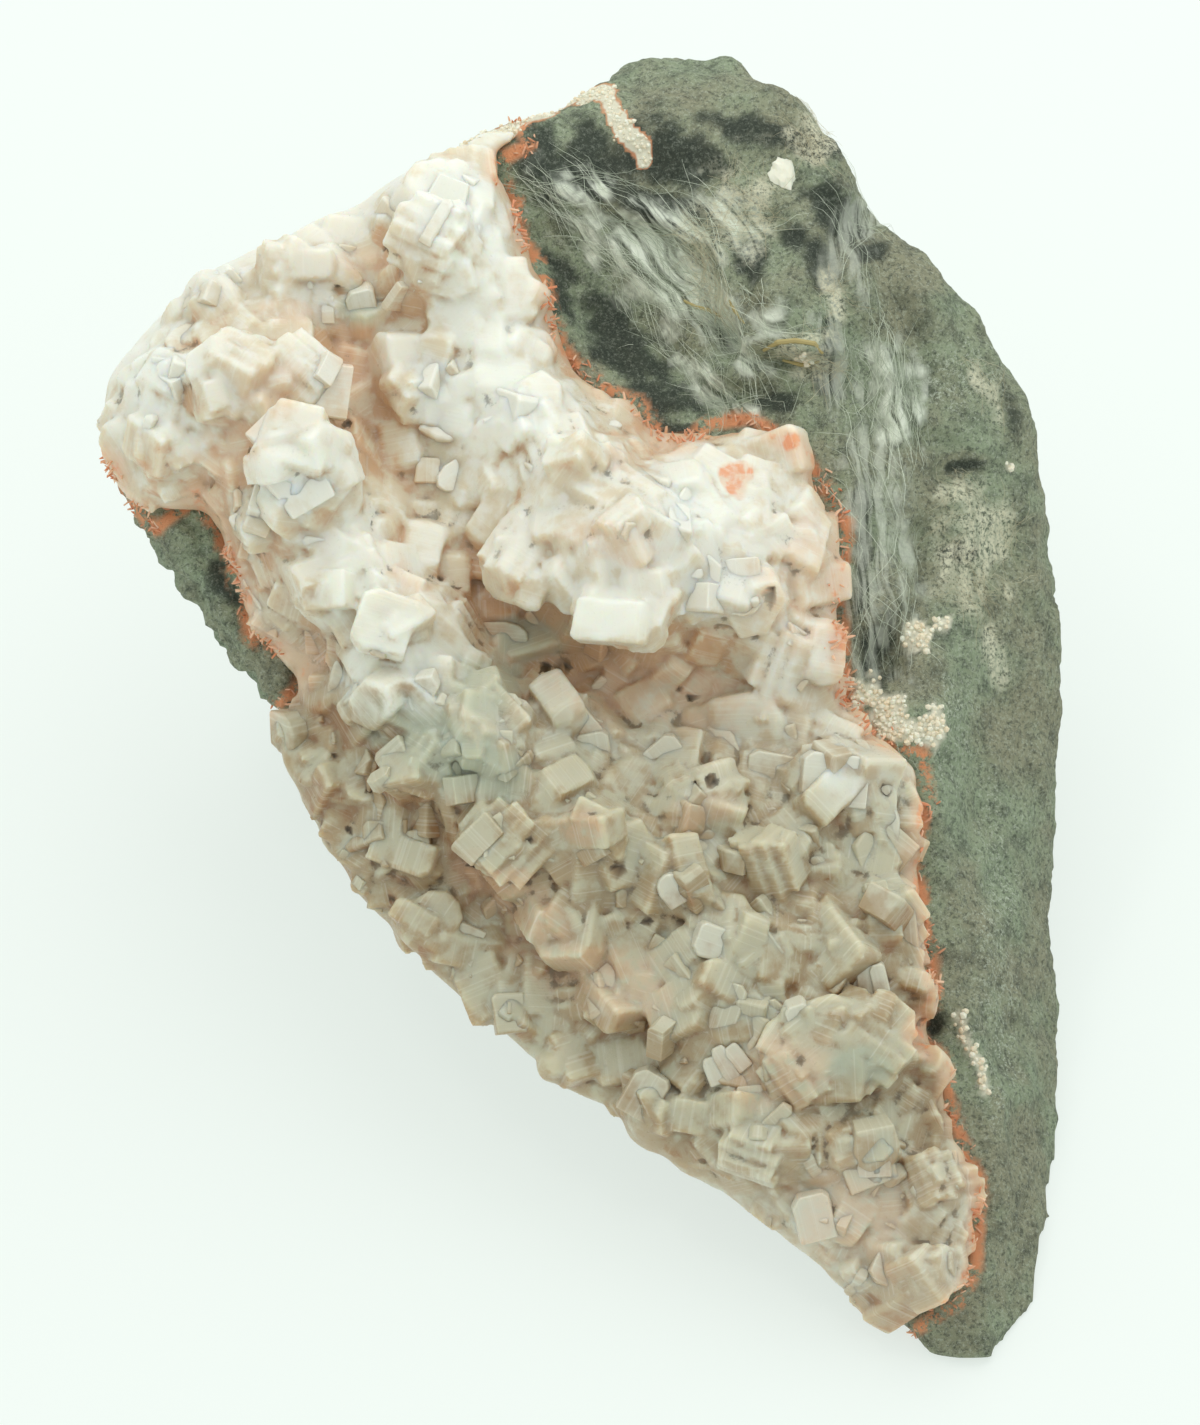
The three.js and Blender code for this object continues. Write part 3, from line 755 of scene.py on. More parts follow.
# White of the striations, and of painted glints on the whitest single crystals.
FROST_AND_GLINT_WHITE = (0.85, 0.865, 0.8)
PEACH = (0.75, 0.53, 0.37)
CREVICE_BROWN = (0.07, 0.045, 0.02)
# The brown of the painted shade along the creases between crystals.
SEAM_SHADE_BROWN = (0.42, 0.24, 0.1)
SALMON = (0.78, 0.34, 0.17)
GLASSY_GREY = (0.47, 0.51, 0.4)
STRIAE_APART = 47.0


def ramp(tree, value, colours):
    """From the first colour to the second as the value goes from 0 to a half, then on to the third."""
    near = mix(tree, band(tree, value, 0.0, 0.5), colours[0], colours[1])
    return mix(tree, band(tree, value, 0.5, 1.0), near, colours[2])


def about(tree, value, centre, share):
    """How far a value lies from a centre, times a share."""
    return calc(tree, "MULTIPLY", calc(tree, "SUBTRACT", value, centre), share)


def depth_tone(tree, veil, cloud, tone):
    """Where a place falls on the colour ramp: 0 on raised faces turned to the light, 1 deep between
    crystals.
    """
    # Painted shade in recesses and creases, painted light on lit faces and edges; the rest is random tone.
    depth = calc(tree, "MULTIPLY", attribute(tree, "recess"), 0.85)
    for value, centre, share in (
            (attribute(tree, "frosted"), 1.0, -0.45), (attribute(tree, "crease"), 0.0, 0.6),
            (attribute(tree, "edge"), 0.0, -0.45), (veil, 0.5, 1.3), (tone, 0.5, 0.4), (cloud, 0.5, 1.3)):
        depth = calc(tree, "ADD", depth, about(tree, value, centre, share))
    return depth


# %% Crystal finish
def crystal_finish(name, glow, reach, radius):
    """Milky crystal. Light scatters in it over a reach in millimetres, further in red than in blue."""
    material, tree, shader = new_material(name)
    position = node_of(tree, "ShaderNodeTexCoord").outputs["Object"]
    cloud = noise_texture(tree, position, 8, 3)
    veil = noise_texture(tree, position, 2.4, 4)
    frost = noise_texture(tree, position, 0.45, 3, 0.7)
    tone, crease, rim = (attribute(tree, layer) for layer in ("tone", "crease", "rim"))
    striae = line_texture(tree, attribute(tree, "stria"), calc(tree, "MULTIPLY", tone, STRIAE_APART),
                          Scale=2.6, Detail=2.0)
    depth = depth_tone(tree, veil, cloud, tone)
    jagged = calc(tree, "ADD", rim, about(tree, veil, 0.5, 1.6))
    peach = calc(tree, "MULTIPLY", attribute(tree, "peach"), band(tree, veil, 0.3, 0.55))
    # Painted shade along the seams: brown where the crust bends inwards, in patches.
    seam_shade = calc(tree, "MULTIPLY", band(tree, crease, 0.3, 0.9), band(tree, cloud, 0.42, 0.58))
    cracked = calc(tree, "ADD", crease, calc(tree, "MULTIPLY", frost, 0.7))
    body = mix(tree, attribute(tree, "low"), ramp(tree, depth, UPPER_COLOURS),
               ramp(tree, depth, LOWER_COLOURS))
    for amount, share, colour in (
            (peach, 0.55, PEACH),
            (attribute(tree, "glassy"), 1.0, GLASSY_GREY),
            # Whiteness: partly the crystals' own white, partly painted glints on single crystals.
            (attribute(tree, "white"), band(tree, depth, 0.8, 0.2), FROST_AND_GLINT_WHITE),
            (band(tree, rim, 0.15, 0.75), 0.65, PEACH),
            (band(tree, jagged, 0.72, 1.05), 0.85, SALMON),
            (band(tree, striae, 0.5, 0.75), 0.2, FROST_AND_GLINT_WHITE),
            (seam_shade, 0.5, SEAM_SHADE_BROWN),
            # Dark brown in pits, cracks and stray specks, shown where the crust bends inwards or its fine
            # noise is high.
            (attribute(tree, "dirt"), band(tree, cracked, 0.42, 0.66), CREVICE_BROWN)):
        body = tinted(tree, body, amount, share, colour)
    tree.links.new(body, shader.inputs["Base Color"])
    tree.links.new(calc(tree, "MULTIPLY_ADD", frost, 0.5, 0.1), shader.inputs["Roughness"])
    grain = bump(tree, striae, 0.35, 0.1)
    tree.links.new(bump(tree, frost, 0.3, 0.12, grain), shader.inputs["Normal"])
    shader.inputs["Subsurface Weight"].default_value = glow
    shader.inputs["Subsurface Radius"].default_value = radius
    shader.inputs["Subsurface Scale"].default_value = reach * MM
    shader.inputs["IOR"].default_value = 1.5
    return material


crystal = crystal_finish("Milky crystal", glow=0.85, reach=3.6, radius=(1.0, 0.75, 0.5))
crisp_crystal = crystal_finish("Single crystal", glow=0.5, reach=0.9, radius=(1.0, 0.82, 0.62))
print("crystal finishes:", crystal.name, "and", crisp_crystal.name)

# %% [markdown]
# ### Other finishes
# Basalt is green grey with a grain of paler and darker flecks, a slow drift between darker and browner
# areas, a felt of fine fibres in the hollow and cream dust on the brows. The fringe, the fibres, the
# zeolite crumbs and the bits of straw are coloured solids whose colour varies from bit to bit.

# %% Basalt finish
BASALT_DARK = (0.035, 0.045, 0.036)
BASALT_MID = (0.31, 0.375, 0.25)
BASALT_PALE = (0.56, 0.61, 0.5)
BASALT_BROWN = (0.31, 0.31, 0.21)
FELT = (0.92, 0.97, 0.84)
DUST = (0.74, 0.73, 0.56)
CREAM_CRUST = (0.82, 0.79, 0.64)


def basalt_finish():
    """Grain, flecks and drift by noise, then the areas that the rock's attributes mark."""
    material, tree, shader = new_material("Broken basalt")
    position = node_of(tree, "ShaderNodeTexCoord").outputs["Object"]
    drift = noise_texture(tree, position, 18, 5, 0.6)
    mottle = noise_texture(tree, position, 3.0, 7, 0.7)
    fleck = noise_texture(tree, position, 0.5, 5, 0.9)
    pits = noise_texture(tree, position, 0.65, 4, 0.8)
    hair = line_texture(tree, attribute(tree, "across_flow"), attribute(tree, "along_flow"),
                        Scale=0.7, Detail=6.0, Roughness=0.6, Distortion=0.2)
    wisps = band(tree, hair, 0.36, 0.58)
    dark, felt, vein = (attribute(tree, layer) for layer in ("dark", "felt", "hook"))
    pale = calc(tree, "MULTIPLY_ADD", attribute(tree, "pale"), 0.5, 0.5)
    dusty = calc(tree, "MULTIPLY", band(tree, pits, 0.62, 0.42),
                 calc(tree, "MULTIPLY_ADD", wisps, 0.5, 0.5))
    body = mix(tree, band(tree, drift, 0.38, 0.62), BASALT_MID, BASALT_BROWN)
    for amount, share, colour in (
            (attribute(tree, "brown"), 0.8, BASALT_BROWN),
            (band(tree, mottle, 0.45, 0.68), 0.55, BASALT_DARK),
            (dark, 0.85, BASALT_DARK),
            (band(tree, pits, 0.5, 0.6), 0.6, BASALT_DARK),
            (band(tree, fleck, 0.5, 0.62), pale, BASALT_PALE),
            (dark, 0.5, BASALT_DARK),
            (felt, 0.45, BASALT_DARK),
            (felt, wisps, FELT),
            (attribute(tree, "dust"), dusty, DUST),
            (attribute(tree, "popcorn"), 1.0, CREAM_CRUST),
            (band(tree, vein, 0.05, 0.2), 0.7, SALMON),
            (band(tree, vein, 0.2, 0.5), 1.0, CREAM_CRUST),
            (attribute(tree, "rim"), band(tree, mottle, 0.44, 0.52), SALMON)):
        body = tinted(tree, body, amount, share, colour)
    tree.links.new(body, shader.inputs["Base Color"])
    shader.inputs["Roughness"].default_value = 0.88
    shader.inputs["Specular IOR Level"].default_value = 0.3
    coarse = bump(tree, mottle, 0.8, 0.8)
    middle = bump(tree, pits, 0.8, 0.35, coarse)
    tree.links.new(bump(tree, fleck, 0.7, 0.2, middle), shader.inputs["Normal"])
    return material


# %% Finishes of the small bits
def plain_finish(name, colour, other, roughness=0.7, glow=0.0):
    """A solid colour that varies a little with each bit's tone, with some light scattered inside it."""
    material, tree, shader = new_material(name)
    tree.links.new(mix(tree, attribute(tree, "tone"), colour, other), shader.inputs["Base Color"])
    shader.inputs["Roughness"].default_value = roughness
    shader.inputs["Subsurface Weight"].default_value = glow
    shader.inputs["Subsurface Scale"].default_value = 1.0 * MM
    shader.inputs["Subsurface Radius"].default_value = (1.0, 0.6, 0.4)
    return material


basalt = basalt_finish()
salmon_blades = plain_finish("Salmon fringe", (0.66, 0.22, 0.1), (0.85, 0.55, 0.38), 0.5, 0.2)
cream_crumbs = plain_finish("Cream zeolite", (0.84, 0.83, 0.7), (0.78, 0.66, 0.48), 0.6, 0.2)
fibre = plain_finish("Pale fibre", (0.78, 0.84, 0.7), (0.36, 0.41, 0.31))
tan_fibre = plain_finish("Tan fibre", (0.66, 0.62, 0.44), (0.46, 0.4, 0.25))
straw = plain_finish("Straw", (0.4, 0.33, 0.14), (0.55, 0.47, 0.27))
print(len(bpy.data.materials), "finishes in all, CAD ones among them")

# %% [markdown]
# ## The crystals that stand out
# Some crystals can be told apart one by one. Each lies where it is seen: its place on the face, its
# width, length and thickness, the way its length points, and how far it stands up out of the face.

# %% Main crystals
# kind, across, up, width, length and thickness in millimetres, spin and rise in degrees, whiteness, which
# on the brightest crystals is a painted glint
MAIN_CRYSTALS = [
    ("plate", 14.5, -36.4, 7.0, 7.2, 4.0, -18, 14, 0.2),
    ("plate", 13.9, -28.6, 4.6, 5.0, 4.0, 70, 24, 1.0),
    ("plate", 18.6, -29.0, 6.4, 6.4, 4.0, 38, 16, 0.1),
    ("plate", 9.0, -34.6, 4.2, 5.4, 3.5, 50, 18, 0.5),
    ("plate", 24.6, -37.6, 3.2, 3.6, 3.5, 20, 30, 1.0),
    ("blade", 28.6, -41.4, 7.0, 13.0, 4.0, 98, 8, 0.7),
    ("blade", -11.8, -13.2, 7.4, 8.6, 4.0, 176, 22, 0.8),
    ("blade", 20.3, -51.2, 7.4, 9.4, 4.0, 186, 12, 0.4),
    ("plate", 34.0, -55.0, 4.6, 4.9, 4.5, 4, 24, 0.6),
    ("plate", 27.0, -48.8, 4.2, 5.4, 3.5, 12, 20, 0.3),
    ("plate", 30.4, -57.2, 2.4, 2.6, 3.0, 20, 40, 0.8),
    ("plate", -1.3, -18.6, 3.2, 5.2, 3.0, 66, 24, 0.4),
    ("blade", -2.8, -26.4, 2.8, 4.8, 2.6, 118, 16, 0.4),
    ("blade", 8.9, -21.8, 3.8, 4.4, 3.0, 30, 24, 1.0),
    ("plate", 13.0, -13.0, 6.4, 8.6, 4.0, 88, 10, 0.0),
    ("plate", 29.0, -8.4, 7.0, 8.4, 5.0, 84, 16, 1.0),
    ("plate", 22.2, -8.2, 6.4, 8.6, 4.0, 80, 14, 0.3),
    ("plate", 20.8, -13.6, 3.6, 4.2, 4.0, 6, 20, 0.7),
    ("plate", 35.6, -17.4, 4.0, 11.0, 4.0, 0, 8, 0.6),
    ("plate", 25.3, -29.2, 4.0, 7.4, 3.6, -6, 14, 0.2),
    ("plate", 8.4, -7.0, 7.0, 7.6, 4.0, 40, 16, 0.4),
    ("plate", -5.8, -31.0, 5.0, 6.0, 4.0, -20, 22, 0.5),
    ("plate", -19.4, -27.8, 5.2, 9.0, 3.5, 66, 14, 0.4),
    ("plate", 23.0, 8.0, 7.0, 9.4, 4.0, 55, 16, 0.2),
    ("blade", 17.6, 15.4, 6.6, 7.4, 3.8, 184, 12, 0.1),
    ("blade", -7.0, 12.0, 2.5, 5.2, 2.6, 88, 12, 0.6),
    ("blade", -12.0, 9.4, 4.2, 6.6, 3.4, 264, 14, 0.8),
    ("plate", -3.6, -0.2, 4.0, 7.4, 3.4, 40, 26, 0.4),
    ("plate", -1.0, -5.0, 5.0, 6.0, 4.0, 10, 24, 0.5),
    ("blade", -16.8, 30.3, 4.4, 8.6, 4.4, 118, 12, 0.9),
    ("plate", -37.3, 40.8, 7.2, 12.0, 4.0, 82, 8, 0.0),
    ("blade", -38.2, 30.0, 8.0, 10.0, 3.0, 30, 14, 1.0),
    ("plate", -38.2, 50.4, 3.8, 9.4, 4.0, 92, 8, 0.0),
    ("plate", -30.4, 57.0, 3.4, 7.0, 3.6, 80, 12, 0.1),
    ("plate", -30.0, 51.4, 4.0, 4.6, 4.0, 14, 30, 0.7),
    ("plate", -28.1, 48.4, 2.8, 3.2, 3.0, 30, 34, 1.0),
    ("blade", -19.4, 64.0, 5.4, 6.0, 3.6, 160, 16, 0.7),
    ("blade", -44.4, 44.4, 2.6, 4.0, 3.0, 70, 24, 1.0),
    ("plate", -46.6, 54.0, 3.2, 4.0, 3.4, 40, 24, 0.9),
    ("plate", -37.9, 54.8, 3.0, 3.6, 3.2, 20, 26, 0.9),
    ("plate", 2.0, -34.5, 5.4, 7.0, 3.6, 200, 22, 0.3),
    ("plate", 5.6, -47.4, 5.0, 6.2, 3.6, -30, 20, 0.4),
    ("plate", 37.2, -26.4, 5.0, 7.6, 3.6, 5, 14, 0.3),
    ("blade", 38.0, -60.0, 4.0, 7.0, 3.6, 66, 18, 0.3),
    ("plate", 26.6, -62.6, 5.0, 6.0, 3.6, 14, 20, 0.4),
    ("plate", 37.0, -69.6, 5.0, 7.0, 3.6, 66, 18, 0.3),
]
FANS = [  # across, up, plate width and length in millimetres, spin in degrees, number of plates
    (15.5, -43.6, 4.5, 5.0, 30, 3),
    (28.6, -56.6, 3.2, 4.0, 10, 2),
    (33.0, -33.0, 5.0, 5.0, 5, 3),
]
print(len(MAIN_CRYSTALS), "single crystals and", len(FANS), "fans of plates")


# %% One crystal
CRYSTAL_BEVEL = 0.16


def crystal_frame(spin, rise):
    """Columns: across the crystal, along its thickness, along its length, in face axes."""
    angle, slope = math.radians(spin), math.radians(rise)
    flat = math.cos(slope)
    length = Vector((-math.sin(angle) * flat, math.cos(angle) * flat, math.sin(slope)))
    thick = Vector((0, 0, 1)) - length * length.z
    thick.normalize()
    return Matrix((thick.cross(length), thick, length)).transposed()


FACE_TO_WORLD = Matrix([list(axis) for axis in FACE_AXES]).transposed()
OUTLINES = {
    "plate": [(-0.5, -0.5), (0.5, -0.5), (0.5, 0.3), (0.28, 0.5), (-0.36, 0.5), (-0.5, 0.38)],
    "blade": [(-0.4, -0.5), (0.4, -0.5)] + arc(0.5, 0.08, 0.42, [96, 60, 30, 0, -30, -62, -98]),
}


def add_crystal(bm, kind, place, size, spin, rise, tone, white):
    """Adds one crystal and writes its tone, whiteness and the run of its striations on its vertices."""
    width, length, thickness = size
    single = bmesh.new()
    outline = [(x * width * MM, z * length * MM) for x, z in OUTLINES[kind]]
    add_plate(single, outline, thickness * MM, taper=0.92)
    bmesh.ops.recalc_face_normals(single, faces=single.faces)
    bmesh.ops.bevel(single, geom=list(single.edges), offset=CRYSTAL_BEVEL * MM, segments=1,
                    affect="EDGES", clamp_overlap=True)
    turn = FACE_TO_WORLD @ crystal_frame(spin, rise)
    centre = Vector(to_world(place))
    layers = bm.verts.layers
    copies = {}
    for vertex in single.verts:
        copy = bm.verts.new(centre + turn @ vertex.co)
        copy[layers.float["tone"]] = tone
        copy[layers.float["white"]] = white
        copy[layers.float_vector["grain"]] = turn.col[0]
        copies[vertex] = copy
    for face in single.faces:
        bm.faces.new([copies[vertex] for vertex in face.verts])
    single.free()


# %% Height of a surface
IN_FRONT = 60.0


def surface_tree(obj):
    """A search tree over an object's surface."""
    points = [vertex.co.copy() for vertex in obj.data.vertices]
    return BVHTree.FromPolygons(points, [list(face.vertices) for face in obj.data.polygons])


def height_at(tree, across, up):
    """How far out of the face plane the surface lies at a place, seen from the front."""
    hit, *_ = tree.ray_cast(Vector(to_world([across, up, IN_FRONT])), Vector(-OUT))
    return 0.0 if hit is None else float(to_face(hit)[2])


crust_solid = merged_copy("crystal_crust", "crust_solid")
crust_tree = surface_tree(crust_solid)
first = round(height_at(crust_tree, *MAIN_CRYSTALS[0][1:3]), 1)
print("crust under the first single crystal:", first, "mm out of the face plane")

# %% [markdown]
# ### Setting the single crystals
# Each crystal's broad face ends just above the solid crust, so that the rest of it is rooted in the
# lining. It rises a little less steeply than it looks to, because the far ends of steep crystals came out
# as loose boxes. A fan is a row of plates on edge, each turned a little from the last, which is how
# stilbite grows into sheaves.

# %% Single crystals
CRYSTAL_LIFT = 0.35
RISE_SHARE = 0.65
WHITE_SHARE = 0.35
FAN_STEP = 1.7
FAN_PLATE = 2.2
FAN_RISE = 8


def named_crystals():
    """All single crystals and fans as one mesh."""
    bm = bmesh.new()
    for layer in ("tone", "white"):
        bm.verts.layers.float.new(layer)
    bm.verts.layers.float_vector.new("grain")
    noise.seed_set(12)
    for kind, across, up, width, length, thickness, spin, rise, white in MAIN_CRYSTALS:
        out = height_at(crust_tree, across, up) + CRYSTAL_LIFT - 0.5 * thickness
        add_crystal(bm, kind, (across, up, out), (width, length, thickness), spin, RISE_SHARE * rise,
                    noise.random() * 0.7, WHITE_SHARE * white)
    for across, up, width, length, spin, count in FANS:
        step = math.radians(spin)
        out = height_at(crust_tree, across, up) - 0.4
        for n in range(count):
            shift = (n - (count - 1) / 2) * FAN_STEP
            place = (across + shift * math.cos(step), up + shift * math.sin(step), out + 0.35 * n)
            add_crystal(bm, "plate", place, (FAN_PLATE, length - 0.8 * abs(shift), width),
                        spin + 5 * shift, FAN_RISE, 0.1 + 0.2 * (n % 2), 0.3)
    mesh = bpy.data.meshes.new("single_crystals")
    bm.to_mesh(mesh)
    bm.free()
    mesh.materials.append(crisp_crystal)
    return new_object("single_crystals", mesh)


# %% [markdown]
# ## Growing the crust
# The crystals have grown into one another, so the crust is made by letting them overlap and rebuilding
# their common skin. The large crystals stand apart and lean, the lesser ones fill what is left. Both thin
# out towards the edge of the crust. After the fusing, each vertex looks up the crystal it came from, and
# takes its tone and the run of its striations.

# %% Where crystals grow
def crust_masks(mesh, margin):
    """Crystals cover the front and the broken edges of the crust, but keep clear of the bare rock."""
    rock_side, free_side = edge_distances(to_face(vertices(mesh))[:, :2])
    facing = normals(mesh) @ OUT
    free_margin = 1.6 * margin
    cover = (smoothstep(rock_side, margin, margin + 2)
             * smoothstep(free_side, free_margin, free_margin + 1.5))
    set_attribute(mesh, "cover", cover * smoothstep(facing, -0.5, 0.1))


def shrunk(obj, name, depth):
    """A copy of an object with its surface moved inwards, so that what grows on it is rooted deep."""
    mesh = obj.data.copy()
    move_vertices(mesh, vertices(mesh) - normals(mesh) * depth * MM)
    return new_object(name, mesh)


def removed(*objs):
    for obj in objs:
        mesh = obj.data
        bpy.data.objects.remove(obj)
        bpy.data.meshes.remove(mesh)


def joined(name, objs):
    bm = bmesh.new()
    for obj in objs:
        bm.from_mesh(obj.data)
    mesh = bpy.data.meshes.new(name)
    bm.to_mesh(mesh)
    bm.free()
    removed(*objs)
    return new_object(name, mesh)


# %% Body, large and middle crystals
BODY_VOXEL = 1.0
BED_DEPTH = 0.4


def lumpy_body():
    """The solid crust without its facets, swollen a little in places, for the crystals to grow on."""
    body = resurfaced(merged_copy("crystal_crust", "crust_body"), BODY_VOXEL, smoothing=32)
    points = vertices(body.data)
    swell = 0.25 + 0.5 * fractal(points / MM, 5, 3, 2.2) + 0.8 * smoothstep(-to_face(points)[:, 0], 44, 54)
    move_vertices(body.data, points + normals(body.data) * swell[:, None] * MM)
    return body


body = lumpy_body()
bed = shrunk(body, "crystal_bed", BED_DEPTH)
crust_masks(bed.data, 1.6)
large = scatter("large", bed, BIG_SHAPES, 4.6, (6.0, 10.0), lean=0.24, seed=3)
crust_masks(bed.data, 0.5)
middle = scatter("middle", bed, BIG_SHAPES, 3.0, (3.4, 6.4), lean=0.32, seed=8)
source = joined("crust_source", [body, large, middle])
removed(bed)
source_points = vertices(source.data)
source_tones = read_attribute(source.data, "tone")
source_grains = read_attribute(source.data, "grain", 3)
source_faces = [list(p.vertices) for p in source.data.polygons]
source_tree = BVHTree.FromPolygons([Vector(p) for p in source_points], source_faces)


# %% Wearing the skin smooth
def edge_pairs(mesh):
    """The two vertices of every edge, as two rows."""
    pairs = np.empty(len(mesh.edges) * 2, np.int32)
    mesh.edges.foreach_get("vertices", pairs)
    return pairs.reshape(-1, 2).T


def neighbour_mean(values, pairs):
    """The mean of each vertex's neighbours along the mesh's edges."""
    total, count = np.zeros_like(values), np.zeros(len(values))
    for here, there in (pairs, pairs[::-1]):
        np.add.at(total, here, values[there])
        np.add.at(count, here, 1)
    return total / np.maximum(count, 1).reshape(-1, *[1] * (values.ndim - 1))


def worn_smooth(mesh, rounds):
    """Rounds the crystals of the upper lobes, which are older and frosty."""
    points, pairs = vertices(mesh), edge_pairs(mesh)
    places = to_face(points)
    share = 0.15 + 0.85 * smoothstep(places[:, 1] + 0.35 * places[:, 0], 2, 24)
    for _ in range(rounds):
        points += (neighbour_mean(points, pairs) - points) * (0.6 * share)[:, None]
    move_vertices(mesh, points)


# %% Fusing the crystals
CRUST_VOXEL = 0.42
CRUST_TRIANGLES = 190000


def fused_crust(voxel, target):
    """The common skin of the overlapping crystals, thinned to a number of triangles."""
    add_remesh(source, voxel)
    add_relax(source, 0.4, 1)
    obj = evaluated(source)
    obj.name = obj.data.name = "crystal_lining"
    worn_smooth(obj.data, rounds=3)
    full = triangles(obj.data)
    thin = obj.modifiers.new("Thin out", "DECIMATE")
    thin.ratio = target / full
    evaluated(obj)
    print("crust:", full, "triangles thinned to", triangles(obj.data))
    return obj


crust = fused_crust(CRUST_VOXEL, CRUST_TRIANGLES)


# %% Crystal of each vertex
def inherit_crystals(mesh):
    """Tone and striations of the crystal nearest to each vertex."""
    points = vertices(mesh)
    owners = [source_faces[source_tree.find_nearest(p)[2]][0] for p in points.tolist()]
    tones, grains = source_tones[owners], source_grains[owners]
    set_attribute(mesh, "tone", tones)
    set_attribute(mesh, "stria", (points * grains).sum(axis=1) / MM)


inherit_crystals(crust.data)
print("tones from", round(float(source_tones.min()), 2), "to", round(float(source_tones.max()), 2))

# %% [markdown]
# ## Crisp blades
# On the lower field, in the pocket and along the free edges, the last crystals to grow keep sharp edges
# and stand clear of the rest. They are rooted in the fused crust. The single crystals that can be told
# apart are set on it too.

# %% Crisp blades
ROOT_DEPTH = 1.1


def crisp_cover(mesh):
    """Writes how thickly the small edge crystals stand, and returns the same for the crisp blades."""
    points = vertices(mesh)
    places = to_face(points)
    rock_side, free_side = edge_distances(places[:, :2])
    low = smoothstep(8 - places[:, 1] - 0.25 * places[:, 0], 0, 12)
    patches = smoothstep(fractal(points / MM, 12, 2, 3.0), -0.25, 0.3)
    amount = np.maximum(low * (0.12 + 0.48 * patches), 0.1) * smoothstep(free_side, 1.0, 3.0)
    clear_of_rock = smoothstep(rock_side, 0.6, 1.8)
    set_attribute(mesh, "fine", 0.7 * (1 - smoothstep(free_side, 1.5, 3.5)) * clear_of_rock)
    return amount * smoothstep(normals(mesh) @ OUT, -0.3, 0.3) * clear_of_rock


root = shrunk(crust, "crisp_root", ROOT_DEPTH)
set_attribute(root.data, "cover", crisp_cover(root.data))
blades = scatter("crisp_blades", root, CRISP_SHAPES, 2.8, (3.4, 7.0), lean=0.38, seed=21,
                 finish=crisp_crystal)
edging = scatter("edge_crystals", root, CRISP_SHAPES, 1.2, (1.4, 2.6), "fine", lean=0.8, seed=23,
                 finish=crisp_crystal)
removed(root)
singles = named_crystals()
print("single crystals:", triangles(singles.data), "triangles")
for piece in (blades, edging, singles):
    runs = (vertices(piece.data) * read_attribute(piece.data, "grain", 3)).sum(axis=1)
    set_attribute(piece.data, "stria", runs / MM)

# %% [markdown]
# ## Depth between the crystals
# Colour follows depth here: places deep between crystals are painted darker and warmer, as painted shade,
# so each vertex needs to know how far it lies below its neighbours. The highest point in each square of
# the face gives a height map, blurring it gives the general level, and the recess is how far a vertex lies
# under that level. The rim is the band beside the bare rock. Some areas are peachier, whiter or glassier
# than the rest, and small pits and cracks are dark brown. All of these lie at known places on the face.

# %% Colour areas on the crust
# across, up, half length and half width in millimetres, turn in degrees
PEACH_AREAS = [
    (-40, 40.5, 5, 3.5, 0), (-46, 33, 5, 4, 20), (-38, 50.4, 6, 2, 0), (2, 21, 7, 3, -10),
    (9, 2, 14, 5, -6), (28, 16, 9, 13, 0), (-26, 19, 6, 2.5, -50), (13, -13, 5, 3, 0),
    (0, -33, 10, 5, -20), (32, -62, 8, 9, 0), (-10, -24, 8, 4, -30), (22, -44, 7, 5, 0),
    (-31, 44, 3, 8, 0), (-30, 56.5, 4, 2, 0), (4, 33, 4, 3, 0), (24, 14, 6, 5, 0), (-2, -14, 4, 3, 0),
]
WHITE_AREAS = [
    (-16, 60, 6, 10, 0), (-14, 40, 8, 12, 20), (-55, 41, 7, 8, 0), (-37, 30, 7, 6, 0),
    (-26, 6, 7, 7, -30), (14, 26, 6, 5, 0), (29, -9, 4, 3, 0), (-30, 19, 5, 7, 0),
    (-20, 66, 5, 4, 0), (1, 12, 5, 3, 0),
]
GLASSY_AREAS = [
    (-21, -4, 9, 4.5, -35), (-30, 51, 3, 2.4, 0), (-13, -7, 6, 4, 0), (33, -44, 4, 3, 0),
    (-14, 4, 5, 4, 0), (-9, 9, 5, 3, 10),
]
SALMON_SPOTS = [(17.4, 29.6, 1.8, 2.6, 20)]
PITS = [  # across, up and radius in millimetres
    (-32.8, 52.9, 0.8), (-6.7, 5.4, 1.0), (-4.5, 5.8, 1.0), (10.1, 3.0, 0.6), (11.1, 2.0, 0.5),
    (13.7, 9.2, 0.6), (12.5, 13.3, 0.5), (13.9, -8.6, 0.9), (12.0, -8.8, 0.5), (-28.6, -9.6, 0.8),
    (-33.4, -5.5, 0.6), (-31.4, -14.8, 0.6), (-8.4, -15.9, 0.5), (-15.8, -19.0, 0.6), (2.3, -19.6, 0.9),
    (-26.0, -23.5, 0.7), (6.0, -26.0, 0.5), (35.6, -9.8, 1.1), (21.2, 15.2, 0.8), (-31.6, 36.3, 0.8),
    (-43.2, 32.4, 0.8), (-34.2, 50.2, 0.6), (7.4, -45.6, 0.6), (-27.0, 58.4, 0.5),
]
CRACKS = [  # paths on the face, across and up
    [(-31.7, 44.7), (-31.4, 39.7), (-31.1, 36.6), (-31.7, 35.7), (-35.0, 36.2)],
    [(-43.4, 36.2), (-43.1, 32.3)], [(-45.4, 32.6), (-42.6, 32.0)], [(-28.6, 27.0), (-28.3, 22.9)],
    [(5.1, -26.1), (8.0, -25.6), (12.7, -26.1)], [(8.0, -41.5), (7.3, -45.0), (7.6, -46.3), (10.0, -47.0)],
    [(11.2, -46.6), (14.0, -46.0), (17.9, -47.9)], [(9.5, -8.4), (14.9, -8.8)],
    [(-26.2, 59.4), (-25.8, 57.6)], [(23.9, -53.4), (23.4, -55.4)], [(-24.0, 17.8), (-17.0, 15.6)],
    [(-8.5, 5.0), (-3.5, 5.6)], [(28.0, -11.5), (33.5, -12.5)],
]
